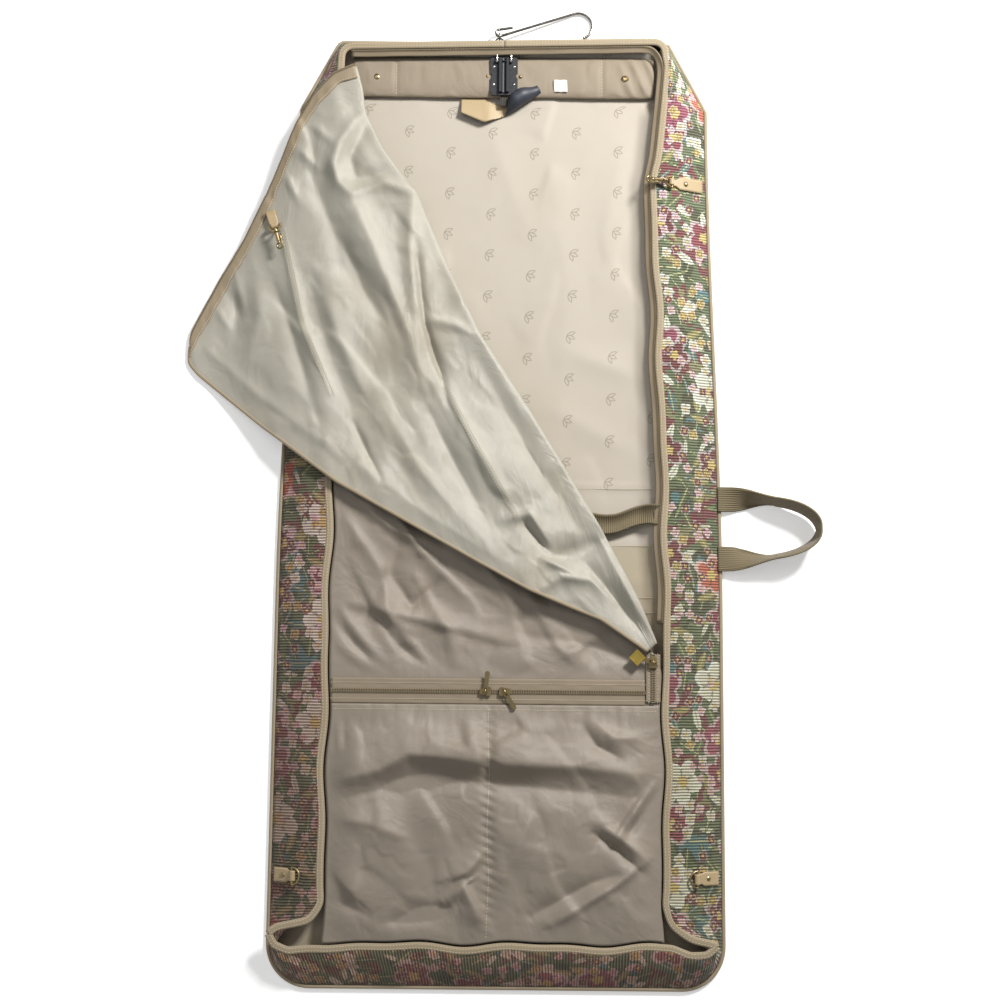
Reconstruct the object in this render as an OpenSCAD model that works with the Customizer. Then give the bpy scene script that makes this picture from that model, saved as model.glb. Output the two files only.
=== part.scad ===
// Folding garment bag of tapestry cloth, lying open on its back with the inside up.
// X runs to the right, Y towards the hanging hook and Z up. The origin is on the underside of the back panel.

/* [Back panel] */
// Length of the back panel, foot to top edge
bag_len = 1144; // [1040:1:1260]
// Width of the back panel at the foot
bag_w = 526; // [480:1:580]
// Width of the back panel at the shoulders
shoulder_w = 498; // [440:1:540]
// Width of the top edge between the shoulder cuts
top_w = 408; // [370:1:440]
// Height of the slanted shoulder cuts
shoulder_drop = 86; // [60:1:120]
// Radius of the foot corners
foot_round = 46; // [25:1:70]
// Thickness of the padded back
back_thick = 2.6; // [1.6:0.1:5]
// Thickness of the lining
lining_thick = 0.9; // [0.5:0.1:1.6]

/* [Walls] */
// Height of the opening's rim above the floor
rim_height = 25; // [18:1:45]
// Width of the right wall, seen from above
right_wall = 69; // [50:1:85]
// Width of the left wall, seen from above
left_wall = 62; // [50:1:85]
// Width of the foot wall, seen from above
foot_wall = 50; // [36:1:70]
// Width of the top wall, seen from above
top_wall = 9; // [6:1:14]
// Thickness of the wall and cover cloth
cloth_thick = 1.6; // [0.8:0.1:2.4]
// Width of the tape that binds the rim
binding_w = 9; // [6:0.5:12]
// Height of the binding tape's section
binding_thick = 3.2; // [2:0.1:4.5]
// Diameter of the piped outer seam
piping_d = 5; // [3:0.5:7]

/* [Cover] */
// Distance from the foot to the lower end of the open zip
open_from = 396; // [360:1:520]
// Reach of the turned-back corner to the left of the bag's middle
flap_reach = 388; // [340:1:420]
// Height of the turned-back corner above the bag's middle
flap_corner = 184; // [120:1:240]
// Bow of the turned-back long edge
flap_bow = 44; // [20:1:60]
// Height of the folded cover above the rim
flap_lift = 6; // [5:0.5:14]
// Height of the soft folds in the turned-back cover
fold_height = 8; // [3:0.5:14]
// Depth that the closed cover sags
cover_sag = 6; // [2:0.5:9]

/* [Pocket] */
// Distance from the foot to the pocket's zip
pocket_zip_up = 339; // [300:1:350]
// Width of the pocket's zip, both tapes together
zip_tape_w = 30; // [24:1:36]
// Width of the zip's coil
zip_coil_w = 7; // [5:0.5:9]
// Height of the pocket's soft folds
pocket_puff = 5; // [2:0.5:9]
// Gap between the two pocket sliders
slider_gap = 23; // [20:0.5:40]

/* [Header] */
// Distance from the top edge down to the header's upper edge
header_setback = 19; // [16:1:30]
// Length of the header sleeve down the bag
header_l = 52; // [44:1:64]
// Thickness of the padded header
header_thick = 9; // [7:0.5:14]
// Thickness of the stiff board in the header
board_thick = 3; // [2:0.5:4]
// Width of the hanger bracket
bracket_w = 34; // [28:1:44]
// Length of the hanger bracket
bracket_l = 50; // [44:1:60]
// Thickness of the bracket's plate
bracket_plate = 2.6; // [2:0.1:4]
// Diameter of the bail's wire
bail_d = 2.2; // [1.6:0.1:2.8]
// Distance between the two press studs of the header
snap_span = 309; // [260:1:330]

/* [Hanging hook] */
// Diameter of the hook's wire
hook_d = 3.4; // [2.6:0.1:4.2]
// Length of the hook's straight shank
hook_shank = 98; // [80:1:120]
// Radius of the hook's bend
hook_bend_r = 17; // [13:0.5:18]
// Angle between the shank and the top edge
hook_angle = 20; // [19:0.5:35]
// Radius of the link ring's wire circle
link_r = 4.8; // [4.6:0.1:5.6]

/* [Snap hooks and D-rings] */
// Width of the tabs that carry the snap hooks and D-rings
tab_w = 16; // [12:0.5:20]
// Thickness of the tabs
tab_thick = 1.6; // [1:0.1:2.2]
// Wire diameter of the snap hooks and D-rings
ring_wire = 2.4; // [2:0.1:2.8]
// Radius of the D-rings' wire circle
d_ring_r = 9.4; // [8.6:0.1:12]
// Distance from the top edge to the right snap hook
hook_tab_down = 184; // [150:1:260]
// Distance from the foot to the D-rings
ring_tab_up = 125; // [105:1:200]

/* [Straps] */
// Width of the handle and strap webbing
webbing_w = 30; // [24:1:36]
// Thickness of the webbing
webbing_thick = 2.2; // [1.6:0.1:3]
// Reach of the carry handle past the bag's edge
handle_reach = 122; // [100:1:150]
// Distance between the handle's two ends, middle to middle
handle_span = 72; // [60:1:90]

/* [Hidden] */

$fn = 72;
// Gap between pieces that lie on or beside each other
seat = 0.3;
y_top = bag_len / 2;
y_foot = -bag_len / 2;
y_shoulder = y_top - shoulder_drop;
// Where the sides begin to taper towards the shoulders
y_taper = y_foot + 0.4 * bag_len;
// Where the walls begin to narrow towards the top
y_narrow = y_top - 2 * shoulder_drop;
y_open = y_foot + open_from;
wall_foot_z = back_thick + cloth_thick + seat;
lining_z = back_thick + lining_thick;
wall_top_y = y_top - 3;
wall_foot_y = y_foot + foot_wall + 5;
flare_len = 34;
flare = 14;
wave = 1.6;
// Slack between the wall's upper edge and its binding
bind_gap = 1.6;
// Slack between the binding and the cloth inside the rim
side_clear = 1.5;

// Blends and directions
function mix(a, b, t) = a + (b - a) * t;
function clamp(t) = min(1, max(0, t));
function ease(t) = let (c = clamp(t)) c * c * (3 - 2 * c);
function unit(v) = v / norm(v);
function steps(n) = [for (i = [0 : n]) i / n];
function reach(p, a, b) =
    let (t = clamp((p - a) * (b - a) / ((b - a) * (b - a))))
    norm(p - mix(a, b, t));
// A soft ridge of the cloth along the line from a to b
function ridge(p, a, b, high, wide) = high * exp(-pow(reach(p, a, b) / wide, 2));

// Outline of the back and the rim of the opening
function half_w(y) =
    y < y_shoulder
    ? mix(bag_w / 2, shoulder_w / 2, ease((y - y_taper) / (y_shoulder - y_taper)))
    : mix(shoulder_w / 2, top_w / 2, (y - y_shoulder) / (y_top - y_shoulder));
function wall_w(y, wall) = mix(wall, top_wall, pow(clamp((y - y_narrow) / (y_top - y_narrow)), 1.5));
function rim_wave(y) = wave * (sin(1.9 * y) + 0.7 * sin(3.3 * y + 70));
function rim_x(y, wall) =
    half_w(y) - wall_w(y, wall) + rim_wave(y) + flare * ease((wall_foot_y + flare_len - y) / flare_len);
function foot_rim_y(x) = y_foot + foot_wall + 1.2 * rim_wave(1.3 * x);
function wall_x(y, s, wall) = mix(half_w(y), rim_x(y, wall) + binding_w + bind_gap, s);
function wall_z(s) = mix(wall_foot_z, rim_height, sin(90 * s));
// Slope of the wall at s, in degrees
function wall_tilt(s, wall) = atan((rim_height - wall_foot_z) * PI / 2 * cos(90 * s) / (wall - binding_w));
function corner_y(x) =
    let (past = abs(x) - (bag_w / 2 - foot_round))
    past > 0 ? y_foot + foot_round - sqrt(max(0, foot_round * foot_round - past * past)) : y_foot;

function right_outline(inset) = concat(
    [for (a = [-90 : 15 : -15])
        [bag_w / 2 - foot_round, y_foot + foot_round] + (foot_round - inset) * [cos(a), sin(a)]],
    [for (t = steps(14)) let (y = mix(y_foot + foot_round, y_shoulder, t)) [half_w(y) - inset, y]],
    [[top_w / 2 - inset, y_top - inset]]
);
function mirrored(pts) = [for (i = [len(pts) - 1 : -1 : 0]) [-pts[i].x, pts[i].y]];
function outline(inset) = concat(right_outline(inset), mirrored(right_outline(inset)));

// Solids of cloth: rows run towards -Y and each row runs towards +X.
// Rows may get shorter, which leaves a free edge along the longer one.
module sheet(top, bottom) {
    n = len(top);
    starts = [for (i = 0, sum = 0; i < n; sum = sum + len(top[i]), i = i + 1) sum];
    size = starts[n - 1] + len(top[n - 1]);
    function t(i, j) = starts[i] + j;
    function b(i, j) = size + starts[i] + j;
    function quad(p, q, r, s) = [[p, q, r], [p, r, s]];
    last = len(top[n - 1]) - 1;
    quads = concat(
        [for (i = [0 : n - 2]) for (j = [0 : len(top[i + 1]) - 2])
            each quad(t(i, j), t(i, j + 1), t(i + 1, j + 1), t(i + 1, j))],
        [for (i = [0 : n - 2]) for (j = [0 : len(top[i + 1]) - 2])
            each quad(b(i, j), b(i + 1, j), b(i + 1, j + 1), b(i, j + 1))],
        [for (j = [0 : len(top[0]) - 2]) each quad(t(0, j), b(0, j), b(0, j + 1), t(0, j + 1))],
        [for (j = [0 : last - 1])
            each quad(t(n - 1, j), t(n - 1, j + 1), b(n - 1, j + 1), b(n - 1, j))],
        [for (i = [0 : n - 2]) each quad(t(i, 0), t(i + 1, 0), b(i + 1, 0), b(i, 0))],
        [for (i = [0 : n - 2]) let (m = len(top[i + 1]) - 1)
            each quad(t(i + 1, m), t(i, m), b(i, m), b(i + 1, m))],
        [for (i = [0 : n - 2]) if (len(top[i]) > len(top[i + 1]))
            for (j = [len(top[i + 1]) - 1 : len(top[i]) - 2])
                each quad(t(i, j), t(i, j + 1), b(i, j + 1), b(i, j))]
    );
    polyhedron(concat([for (row = top) each row], [for (row = bottom) each row]), quads);
}

// A cloth laid flat: its upper face is given, and its lower face is straight below
module laid(top, thick) {
    sheet(top, [for (row = top) [for (p = row) p - [0, 0, thick]]]);
}

// A band between two edges, thick / 2 to each side
module ribbon(a, b, thick) {
    n = len(a);
    function along(i) = a[min(n - 1, i + 1)] + b[min(n - 1, i + 1)] - a[max(0, i - 1)] - b[max(0, i - 1)];
    up = [for (i = [0 : n - 1]) unit(cross(along(i), b[i] - a[i])) * thick / 2];
    sheet([for (i = [0 : n - 1]) [a[i] + up[i], b[i] + up[i]]],
        [for (i = [0 : n - 1]) [a[i] - up[i], b[i] - up[i]]]);
}

// A tape or cord of oval section, rx wide to each side and rz high, along a path
module tube(path, rx, rz, sides, closed) {
    n = len(path);
    function at(i) = closed ? path[(i + n) % n] : path[min(n - 1, max(0, i))];
    function ring(i) =
        let (d = at(i + 1) - at(i - 1), side = unit([d.y, -d.x, 0]))
        [for (k = [0 : sides - 1]) let (a = 360 * k / sides)
            path[i] + rx * cos(a) * side + [0, 0, rz * sin(a)]];
    function v(i, k) = (i % n) * sides + k % sides;
    spans = closed ? n : n - 1;
    walls = [for (i = [0 : spans - 1]) for (k = [0 : sides - 1])
        each [[v(i, k), v(i + 1, k), v(i + 1, k + 1)], [v(i, k), v(i + 1, k + 1), v(i, k + 1)]]];
    ends = closed ? [] : [[for (k = [0 : sides - 1]) k], [for (k = [sides - 1 : -1 : 0]) v(n - 1, k)]];
    polyhedron([for (i = [0 : n - 1]) each ring(i)], concat(walls, ends));
}

// A straight round rod between two points
module rod(a, b, r) {
    d = b - a;
    translate(a)
        rotate([0, acos(d.z / norm(d)), atan2(d.y, d.x)])
        cylinder(h = norm(d), r = r);
}

// A flat-sided section with round ends, length along X
module stadium(length, high) {
    square([length - high, high], center = true);
    for (side = [-1, 1])
        translate([side * (length - high) / 2, 0])
            circle(d = high);
}

// Back and lining
module back_panel() {
    color("#8a8468")
        linear_extrude(back_thick)
        polygon(outline(0));
}

module back_lining() {
    edge = 6;
    color("#ded2c0")
        translate([0, 0, back_thick])
        linear_extrude(lining_thick)
        polygon(outline(edge));
}

// Walls
wall_rows = 34;
binding_z = rim_height - cloth_thick / 2;

module side_wall(wall) {
    cols = 5;
    color("#7f8463")
        laid([for (t = steps(wall_rows)) let (y = mix(wall_top_y, wall_foot_y, t))
            [for (s = steps(cols)) [wall_x(y, 1 - s, wall), y, wall_z(1 - s)]]], cloth_thick);
}

module gusset_right() {
    side_wall(right_wall);
}

module gusset_left() {
    mirror([1, 0, 0])
        side_wall(left_wall);
}

module gusset_bottom() {
    half = bag_w / 2 - foot_round / 4;
    rows = 4;
    cols = 26;
    color("#7f8463")
        laid([for (s = steps(rows)) [for (c = steps(cols))
            let (x = mix(-half, half, c), rim = foot_rim_y(x) - binding_w - bind_gap)
            [x, mix(rim, corner_y(x), s), wall_z(1 - s)]]], cloth_thick);
}

module gusset_top() {
    half = top_w / 2 - top_wall - binding_w - 2;
    rows = 3;
    color("#7f8463")
        laid([for (s = steps(rows)) [for (side = [-1, 1])
            [side * half, y_top - top_wall * (1 - s), wall_z(0.8 * (1 - s))]]], cloth_thick);
}

module outer_piping() {
    r = piping_d / 2;
    color("#b9ac94")
        tube([for (p = outline(-r - seat)) [p.x, p.y, r]], r, r, 8, true);
}

// Binding along the rim
module side_binding(wall) {
    color("#b9ac94")
        tube([for (t = steps(wall_rows)) let (y = mix(wall_top_y, wall_foot_y, t))
            [rim_x(y, wall) + binding_w / 2, y, binding_z]], binding_w / 2, binding_thick / 2, 6, false);
}

module binding_right() {
    side_binding(right_wall);
}

module binding_left() {
    mirror([1, 0, 0])
        side_binding(left_wall);
}

module binding_bottom() {
    half = bag_w / 2 - foot_round / 2;
    color("#b9ac94")
        tube([for (t = steps(30)) let (x = mix(-half, half, t))
            [x, foot_rim_y(x) - binding_w / 2, binding_z]], binding_w / 2, binding_thick / 2, 6, false);
}

// Cover: its closed part lies below the rim, and the part past the fold is turned back over it
fold_a = [-rim_x(y_top - 44, left_wall) + 14, y_top - 44];
fold_b = [rim_x(y_open, right_wall) - 10, y_open];
fold_out = unit([fold_a.y - fold_b.y, fold_b.x - fold_a.x]);
corner_c = [-flap_reach, flap_corner];
edge_b = fold_b - [9, 8];
pocket_zip_y = y_foot + pocket_zip_up;
cover_edge_z = rim_height - cloth_thick;
floor_gap = 1.2;

function cover_left(y) = -rim_x(y, left_wall) + side_clear;
function cover_right(y) = rim_x(y, right_wall) - side_clear;
function cover_z(x, y) =
    let (across = 1 - pow(clamp(abs(x) / (half_w(y) - left_wall)), 2),
        off_zip = ease(abs(y - pocket_zip_y) / 130))
    cover_edge_z - 0.6 - cover_sag * across * off_zip;
function fold_xy(u) = mix(fold_a, fold_b, u) - fold_out * 9 * sin(360 * u) * (1 - u);
function zip_edge_xy(v) =
    mix(fold_a, corner_c, v) + unit([fold_a.y - corner_c.y, corner_c.x - fold_a.x]) * -16 * sin(180 * v);
function long_edge_xy(u) =
    mix(corner_c, edge_b, u)
    + unit([edge_b.y - corner_c.y, corner_c.x - edge_b.x]) * flap_bow * sin(180 * pow(u, 0.8));
// Turned-back part: u runs along the fold and v from the fold to the free edge
function flap_xy(u, v) =
    mix(fold_xy(u), long_edge_xy(u), v) + (zip_edge_xy(v) - mix(fold_a, corner_c, v)) * pow(1 - u, 3);
function flap_folds(p) =
    ridge(p, [-268, 270], [-205, 80], 0.8 * fold_height, 17)
    + ridge(p, [-120, 370], [-88, 190], fold_height, 22)
    + ridge(p, [-205, 400], [-150, 215], 0.7 * fold_height, 24)
    + ridge(p, [60, 5], [-70, 70], 0.7 * fold_height, 24)
    + ridge(p, [-320, 190], [-250, 120], 0.4 * fold_height, 22);
function flap_z(p) =
    let (out = ease((-p.x - half_w(p.y) + 40) / 150), high = rim_height + flap_lift)
    mix(high, floor_gap + cloth_thick, out) + flap_folds(p) * (1 - 0.55 * out);
function flap_mid(u, v) = let (p = flap_xy(u, v)) [p.x, p.y, flap_z(p)];
// Point of the cloth below the line from_y: s runs across and t down to the foot rim
function closed_xy(s, from_y, t, inset) =
    let (y = mix(from_y, y_foot + foot_wall, t), x = mix(cover_left(y) + inset, cover_right(y) - inset, s))
    [x, mix(from_y, foot_rim_y(x) + 2 * seat + inset, t)];

flap_rows = 22;
flap_cols = 9;
closed_cols = 5;
closed_rows = 9;
first_row = 0.02;
bend = 8;

module front_cover() {
    half = cloth_thick / 2;
    us = steps(flap_rows);
    ts = concat([first_row], [for (t = steps(closed_rows)) if (t > 0) t]);
    function closed_mid(u) = let (f = fold_xy(u), p = f - fold_out * bend) [for (s = steps(closed_cols - 1))
        let (y = mix(f.y, p.y, s), x = mix(cover_left(y), p.x, s)) [x, y, cover_z(x, y) - half]];
    function turned_mid(u) = [for (v = steps(flap_cols)) if (v > 0) flap_mid(u, v)];
    function fold_mid(u) =
        let (f = fold_xy(u), p = f - fold_out * bend)
        [f.x, f.y, (cover_z(p.x, p.y) + flap_z(f)) / 2];
    function folded(u, side) = concat(
        [for (p = closed_mid(u)) p + [0, 0, side * half]],
        [fold_mid(u) - side * half * [fold_out.x, fold_out.y, 0]],
        [for (p = turned_mid(u)) p - [0, 0, side * half]]);
    function closed(t, side) = [for (s = steps(closed_cols))
        let (p = closed_xy(s, y_open, t, 0)) [p.x, p.y, cover_z(p.x, p.y) + (side - 1) * half]];
    color("#cdcbbe")
        sheet(concat([for (u = us) folded(u, 1)], [for (t = ts) closed(t, 1)]),
            concat([for (u = us) folded(u, -1)], [for (t = ts) closed(t, -1)]));
}

// Main zip: one half on the turned-back edge, one along the rim
main_tape_w = 17;
main_tape_thick = 1;

module flap_zip_tape() {
    lift = [0, 0, cloth_thick / 2 + main_tape_thick / 2 + 2 * seat];
    stations = [for (v = steps(flap_cols)) if (v > 0 && v < 1) v];
    function inner(v) =
        let (p = flap_mid(0, v), q = flap_mid(1 / flap_rows, v))
        mix(p, q, main_tape_w / norm(q - p));
    color("#b3a88f")
        ribbon([for (v = stations) flap_mid(0, v) + lift],
            [for (v = stations) inner(v) + lift], main_tape_thick);
}

module rim_zip_tape() {
    y_end = y_top - top_wall - main_tape_thick;
    y_turn = y_end - 20;
    tape_l = 7;
    hang = 8;
    side_ys = [for (t = steps(14)) mix(y_open + 26, y_turn, t)];
    top_xs = [for (t = steps(8)) mix(cover_right(y_turn) - 8, cover_left(y_turn) + 8, t)];
    drop = rim_height - binding_thick - 3;
    top_z = wall_z(0.8);
    color("#b3a88f")
        ribbon(concat([for (y = side_ys) [cover_right(y) - 1, y, drop]],
                [for (x = top_xs) [x, y_end, top_z]]),
            concat([for (y = side_ys) [cover_right(y) - tape_l, y, drop - hang]],
                [for (x = top_xs) [x, y_end - tape_l, top_z - 1]]), main_tape_thick);
}

// Pocket on the closed cover
pocket_top_y = pocket_zip_y - zip_tape_w / 2 - seat;
zip_z = cover_edge_z + 1.8;
zip_thick = 0.9;
coil_thick = 2.2;

module pocket_panel() {
    rows = 11;
    cols = 16;
    inset = 2;
    hem = 40;
    low_y = y_foot + foot_wall;
    function puff(p) =
        let (down = (pocket_top_y - p.y) / (pocket_top_y - low_y),
            seam = 1 - exp(-pow(p.x / 14, 2)),
            side = ease((p.x - cover_left(p.y)) / hem) * ease((cover_right(p.y) - p.x) / hem))
        side * (pocket_puff * pow(sin(180 * clamp(down)), 0.7) * seam
            * (0.8 + 0.2 * sin(1.4 * p.x + 0.9 * p.y))
        + ridge(p, [-150, pocket_top_y - 30], [-40, pocket_top_y - 120], 0.5 * pocket_puff, 20)
        + ridge(p, [70, pocket_top_y - 60], [150, pocket_top_y - 150], 0.6 * pocket_puff, 20)
        + ridge(p, [-120, low_y + 40], [90, low_y + 30], 0.6 * pocket_puff, 16));
    color("#a89e91")
        laid([for (t = steps(rows)) [for (s = steps(cols))
            let (p = closed_xy(s, pocket_top_y, t, inset))
            [p.x, p.y, cover_edge_z + cloth_thick + seat + puff(p)]]], cloth_thick);
}

zip_left = cover_left(pocket_zip_y) + 2;
zip_right = cover_right(pocket_zip_y) - main_tape_w - 2;

module pocket_zip_tape() {
    color("#a3977f")
        translate([zip_left, pocket_zip_y - zip_tape_w / 2, zip_z - zip_thick])
        cube([zip_right - zip_left, zip_tape_w, zip_thick]);
}

module zip_coil(length) {
    rotate([90, 0, 90])
        linear_extrude(length)
        translate([0, coil_thick / 2])
        stadium(zip_coil_w, coil_thick);
}

module pocket_zip_coil() {
    end = 3;
    color("#8f8570")
        translate([zip_left + end, pocket_zip_y, zip_z])
        zip_coil(zip_right - zip_left - 2 * end);
}

// Closed stretch of the main zip, from the open end down to the pocket
main_zip_x = cover_right(pocket_zip_y) - main_tape_w / 2 - 0.5;
main_zip_from = pocket_top_y + 3;
main_zip_to = y_open - 10;

module main_zip() {
    color("#a3977f") {
        translate([main_zip_x - main_tape_w / 2, main_zip_from, zip_z - zip_thick])
            cube([main_tape_w, main_zip_to - main_zip_from, zip_thick]);
        translate([main_zip_x, main_zip_from + 2, zip_z])
            rotate([0, 0, 90])
            zip_coil(main_zip_to - main_zip_from - 4);
    }
}

// Header with its stiff board
header_y = y_top - header_setback - header_l / 2;
header_foot_z = lining_z + seat;
header_top_z = header_foot_z + header_thick;
header_half = half_w(header_y) - wall_w(header_y, right_wall) - 16;
board_l = header_l - header_thick - 4;

module header_sleeve() {
    color("#cdbd9d")
        translate([-header_half, header_y, header_foot_z + header_thick / 2])
        rotate([90, 0, 90])
        linear_extrude(2 * header_half)
        difference() {
            stadium(header_l, header_thick);
            square([board_l + 2 * seat, board_thick + 2 * seat], center = true);
        }
}

module header_board() {
    margin = 4;
    color("#9b8f7a")
        translate([0, header_y, header_foot_z + header_thick / 2])
        cube([2 * (header_half - margin), board_l, board_thick], center = true);
}

// Hanger bracket on the header
bracket_z = header_top_z + seat;
plate_top = bracket_z + bracket_plate;
channel_w = 12;
channel_h = 4.4;
bail_y = header_y + bracket_l / 2 - 7;
bail_z = plate_top + 2.7;
bail_half = 8.8;
pivot_r = 1;
running = 0.06;
barrel_w = 2.8;
rivet_x = 12.5;
rivet_y = 11.5;

module hanger_bracket() {
    waist = 4;
    ear = bracket_w / 2;
    lug = 2;
    color("#10141c") {
        translate([0, header_y, bracket_z])
            linear_extrude(bracket_plate)
            difference() {
                square([bracket_w, bracket_l], center = true);
                for (side = [-1, 1])
                    for (end = [-1, 0, 1])
                        translate([side * (ear + waist / 2), end * bracket_l / 2])
                            circle(r = waist);
            }
        translate([0, header_y, plate_top])
            rotate([90, 0, 0])
            linear_extrude(bracket_l - 6, center = true)
            difference() {
                translate([0, channel_h / 2])
                    square([channel_w, channel_h], center = true);
                translate([0, channel_h])
                    circle(d = channel_w / 2);
            }
        translate([0, bail_y, bail_z])
            rotate([0, 90, 0])
            cylinder(h = 2 * (bail_half + barrel_w / 2 + 1), r = pivot_r, center = true);
    }
}

module hanger_bail() {
    barrel_r = 2.2;
    reach_out = 8.6;
    r = bail_d / 2;
    color("#d8d8d4") {
        for (side = [-1, 1]) {
            translate([side * bail_half, bail_y, bail_z])
                rotate([0, 90, 0])
                difference() {
                    cylinder(h = barrel_w, r = barrel_r, center = true);
                    cylinder(h = barrel_w + 1, r = pivot_r + running, center = true);
                }
            translate([side * bail_half, bail_y + barrel_r - r / 2, bail_z])
                rotate([-90, 0, 0])
                cylinder(h = reach_out - barrel_r + r / 2, r = r);
            translate([side * bail_half, bail_y + reach_out, bail_z])
                sphere(r = r);
        }
        translate([0, bail_y + reach_out, bail_z])
            rotate([0, 90, 0])
            cylinder(h = 2 * bail_half, r = r, center = true);
    }
}

// A low domed head on a flat seat
module dome(r, high) {
    curve = (r * r + high * high) / (2 * high);
    rotate_extrude()
        intersection() {
            translate([0, high - curve])
                circle(r = curve, $fn = 96);
            square([r, high]);
        }
}

module bracket_rivets() {
    color("#dcdcd8")
        for (x = [-rivet_x, rivet_x])
            for (y = [-rivet_y, rivet_y])
                translate([x, header_y + y, plate_top + 0.02])
                    dome(2.1, 1.3);
}

module side_studs() {
    color("#b89a5a")
        for (side = [-1, 1])
            translate([side * (bracket_w / 2 + 3.6), header_y, header_top_z + 0.05])
                dome(2.4, 1.8);
}

module header_snaps() {
    color("#b8a98a")
        for (side = [-1, 1])
            translate([side * snap_span / 2 - 4, header_y - 2, header_top_z + 0.05])
                difference() {
                    dome(5, 2.4);
                    translate([0, 0, 1.4])
                        cylinder(h = 3, r = 2);
                }
}

// Two-faced tongue that curls out from under the bracket, and the strap end below it
module tongue() {
    stations = steps(10);
    foot_y = header_y - bracket_l / 2 - 16;
    thick = 1.4;
    function mid(t) = [mix(-46, 40, t), foot_y - 9 * sin(180 * t) + 12 * ease((t - 0.4) / 0.6),
        lining_z + thick / 2 + seat + 20 * ease((t - 0.2) / 0.75)];
    function across(t) =
        let (turn = 180 * ease((t - 0.35) / 0.4), half = mix(14, 10, t))
        half * [0.25 * cos(turn), cos(turn), 0.55 * sin(turn)];
    color("#d3c4a2")
        ribbon([for (t = stations) mid(1 - t) - across(1 - t)],
            [for (t = stations) mid(1 - t) + across(1 - t)], thick);
}

module bracket_strap() {
    w = 10;
    l = 13;
    color("#14171d")
        translate([0, header_y - bracket_l / 2 - l / 2 - seat, header_top_z - 1.2])
        cube([w, l, 1.6], center = true);
}

// Webbing
strap_share = 0.48;
inner_strap_y = y_foot + strap_share * bag_len;

module inner_strap() {
    lift = 3;
    right = rim_x(inner_strap_y, right_wall) + 14;
    left = 0.366 * half_w(inner_strap_y);
    xs = [for (t = steps(7)) mix(right, left, t)];
    function high(x) = lining_z + webbing_thick / 2 + seat + lift * sin(180 * (right - x) / (right - left));
    function drop(x) = 8 * ease((right - x) / 90);
    color("#9c8f6c")
        ribbon([for (x = xs) [x, inner_strap_y + webbing_w / 2 - drop(x), high(x)]],
            [for (x = xs) [x, inner_strap_y - webbing_w / 2 - drop(x), high(x)]], webbing_thick);
}

handle_share = 0.468;
handle_y = y_foot + handle_share * bag_len;
handle_foot_z = piping_d + webbing_thick / 2 + seat;

module carry_handle() {
    n = 24;
    inner = half_w(handle_y) + seat;
    stand = webbing_w / 2 + floor_gap + 2;
    on_edge = 78;
    function mid(t) =
        let (out = sin(180 * t))
        [inner + (handle_reach - webbing_thick) * pow(out, 0.62), handle_y + handle_span / 2 * cos(180 * t),
            mix(handle_foot_z, stand, ease(1.5 * out))];
    function across(t) =
        let (turn = on_edge * ease(1.35 * sin(180 * t)), way = t < 0.5 ? 1 : -1)
        webbing_w / 2 * [0, cos(turn) * way, sin(turn)];
    color("#9c8f6c")
        ribbon([for (t = steps(n)) mid(t) - across(t)],
            [for (t = steps(n)) mid(t) + across(t)], webbing_thick);
}

module care_tag() {
    w = 17;
    l = 16;
    color("#eeeae2")
        translate([70, header_y - header_l / 2 + l / 2 + 6, header_top_z + 0.5])
        cube([w, l, 0.6], center = true);
}

// Tabs that carry the hooks and rings, on the walls
hook_tab_y = y_top - hook_tab_down;
ring_tab_y = y_foot + ring_tab_up;
hook_tab_s = 0.72;
ring_tab_s = 0.5;
loop_r = ring_wire / 2 + seat + tab_thick;

function on_wall(y, s, wall, lift) = [wall_x(y, s, wall), y, wall_z(s) + lift];

module wall_tab(y, from_s, to_s, wall) {
    lift = tab_thick / 2 + 2 * seat;
    stations = [for (t = steps(5)) mix(from_s, to_s, t)];
    ribbon([for (s = stations) on_wall(y + tab_w / 2, s, wall, lift)],
        [for (s = stations) on_wall(y - tab_w / 2, s, wall, lift)], tab_thick);
}

// The end of a tab that turns round a wire along Y
module tab_loop(at, w) {
    translate(at)
        rotate([90, 0, 0])
        difference() {
            cylinder(h = w, r = loop_r, center = true);
            cylinder(h = w + 2, r = ring_wire / 2 + seat, center = true);
        }
}

// Loops of the snap hooks are narrower, so that the bows' legs pass beside them
hook_loop_w = tab_w - 8;

function loop_at(y, s, wall) = on_wall(y, s, wall, tab_thick + seat + loop_r);
hook_bar_right = loop_at(hook_tab_y, hook_tab_s, right_wall);
ring_bar_right = loop_at(ring_tab_y, ring_tab_s, right_wall);
ring_bar_left = loop_at(ring_tab_y, ring_tab_s, left_wall);

module hook_tab_right() {
    color("#c9b896") {
        wall_tab(hook_tab_y, 0.06, hook_tab_s + 0.05, right_wall);
        tab_loop(hook_bar_right, hook_loop_w);
    }
}

module ring_tab(bar, wall) {
    color("#c9b896") {
        wall_tab(ring_tab_y, 0.06, ring_tab_s + 0.34, wall);
        tab_loop(bar, tab_w - 4);
    }
}

module ring_tab_right() {
    ring_tab(ring_bar_right, right_wall);
}

module ring_tab_left() {
    mirror([1, 0, 0])
        ring_tab(ring_bar_left, left_wall);
}

// The left snap hook hangs from a short tab on the turned-back cover
left_bar_xy = zip_edge_xy(0.55) + 36 * unit([fold_a.y - corner_c.y, corner_c.x - fold_a.x]);
left_bar = [left_bar_xy.x, left_bar_xy.y, flap_z(left_bar_xy) + cloth_thick / 2 + 9 * seat + loop_r];
left_turn = -72;
hook_run = 28;
left_rise = flap_z(left_bar_xy + hook_run * [cos(left_turn), sin(left_turn)]) - flap_z(left_bar_xy);
left_tilt = atan(left_rise / hook_run);

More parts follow.
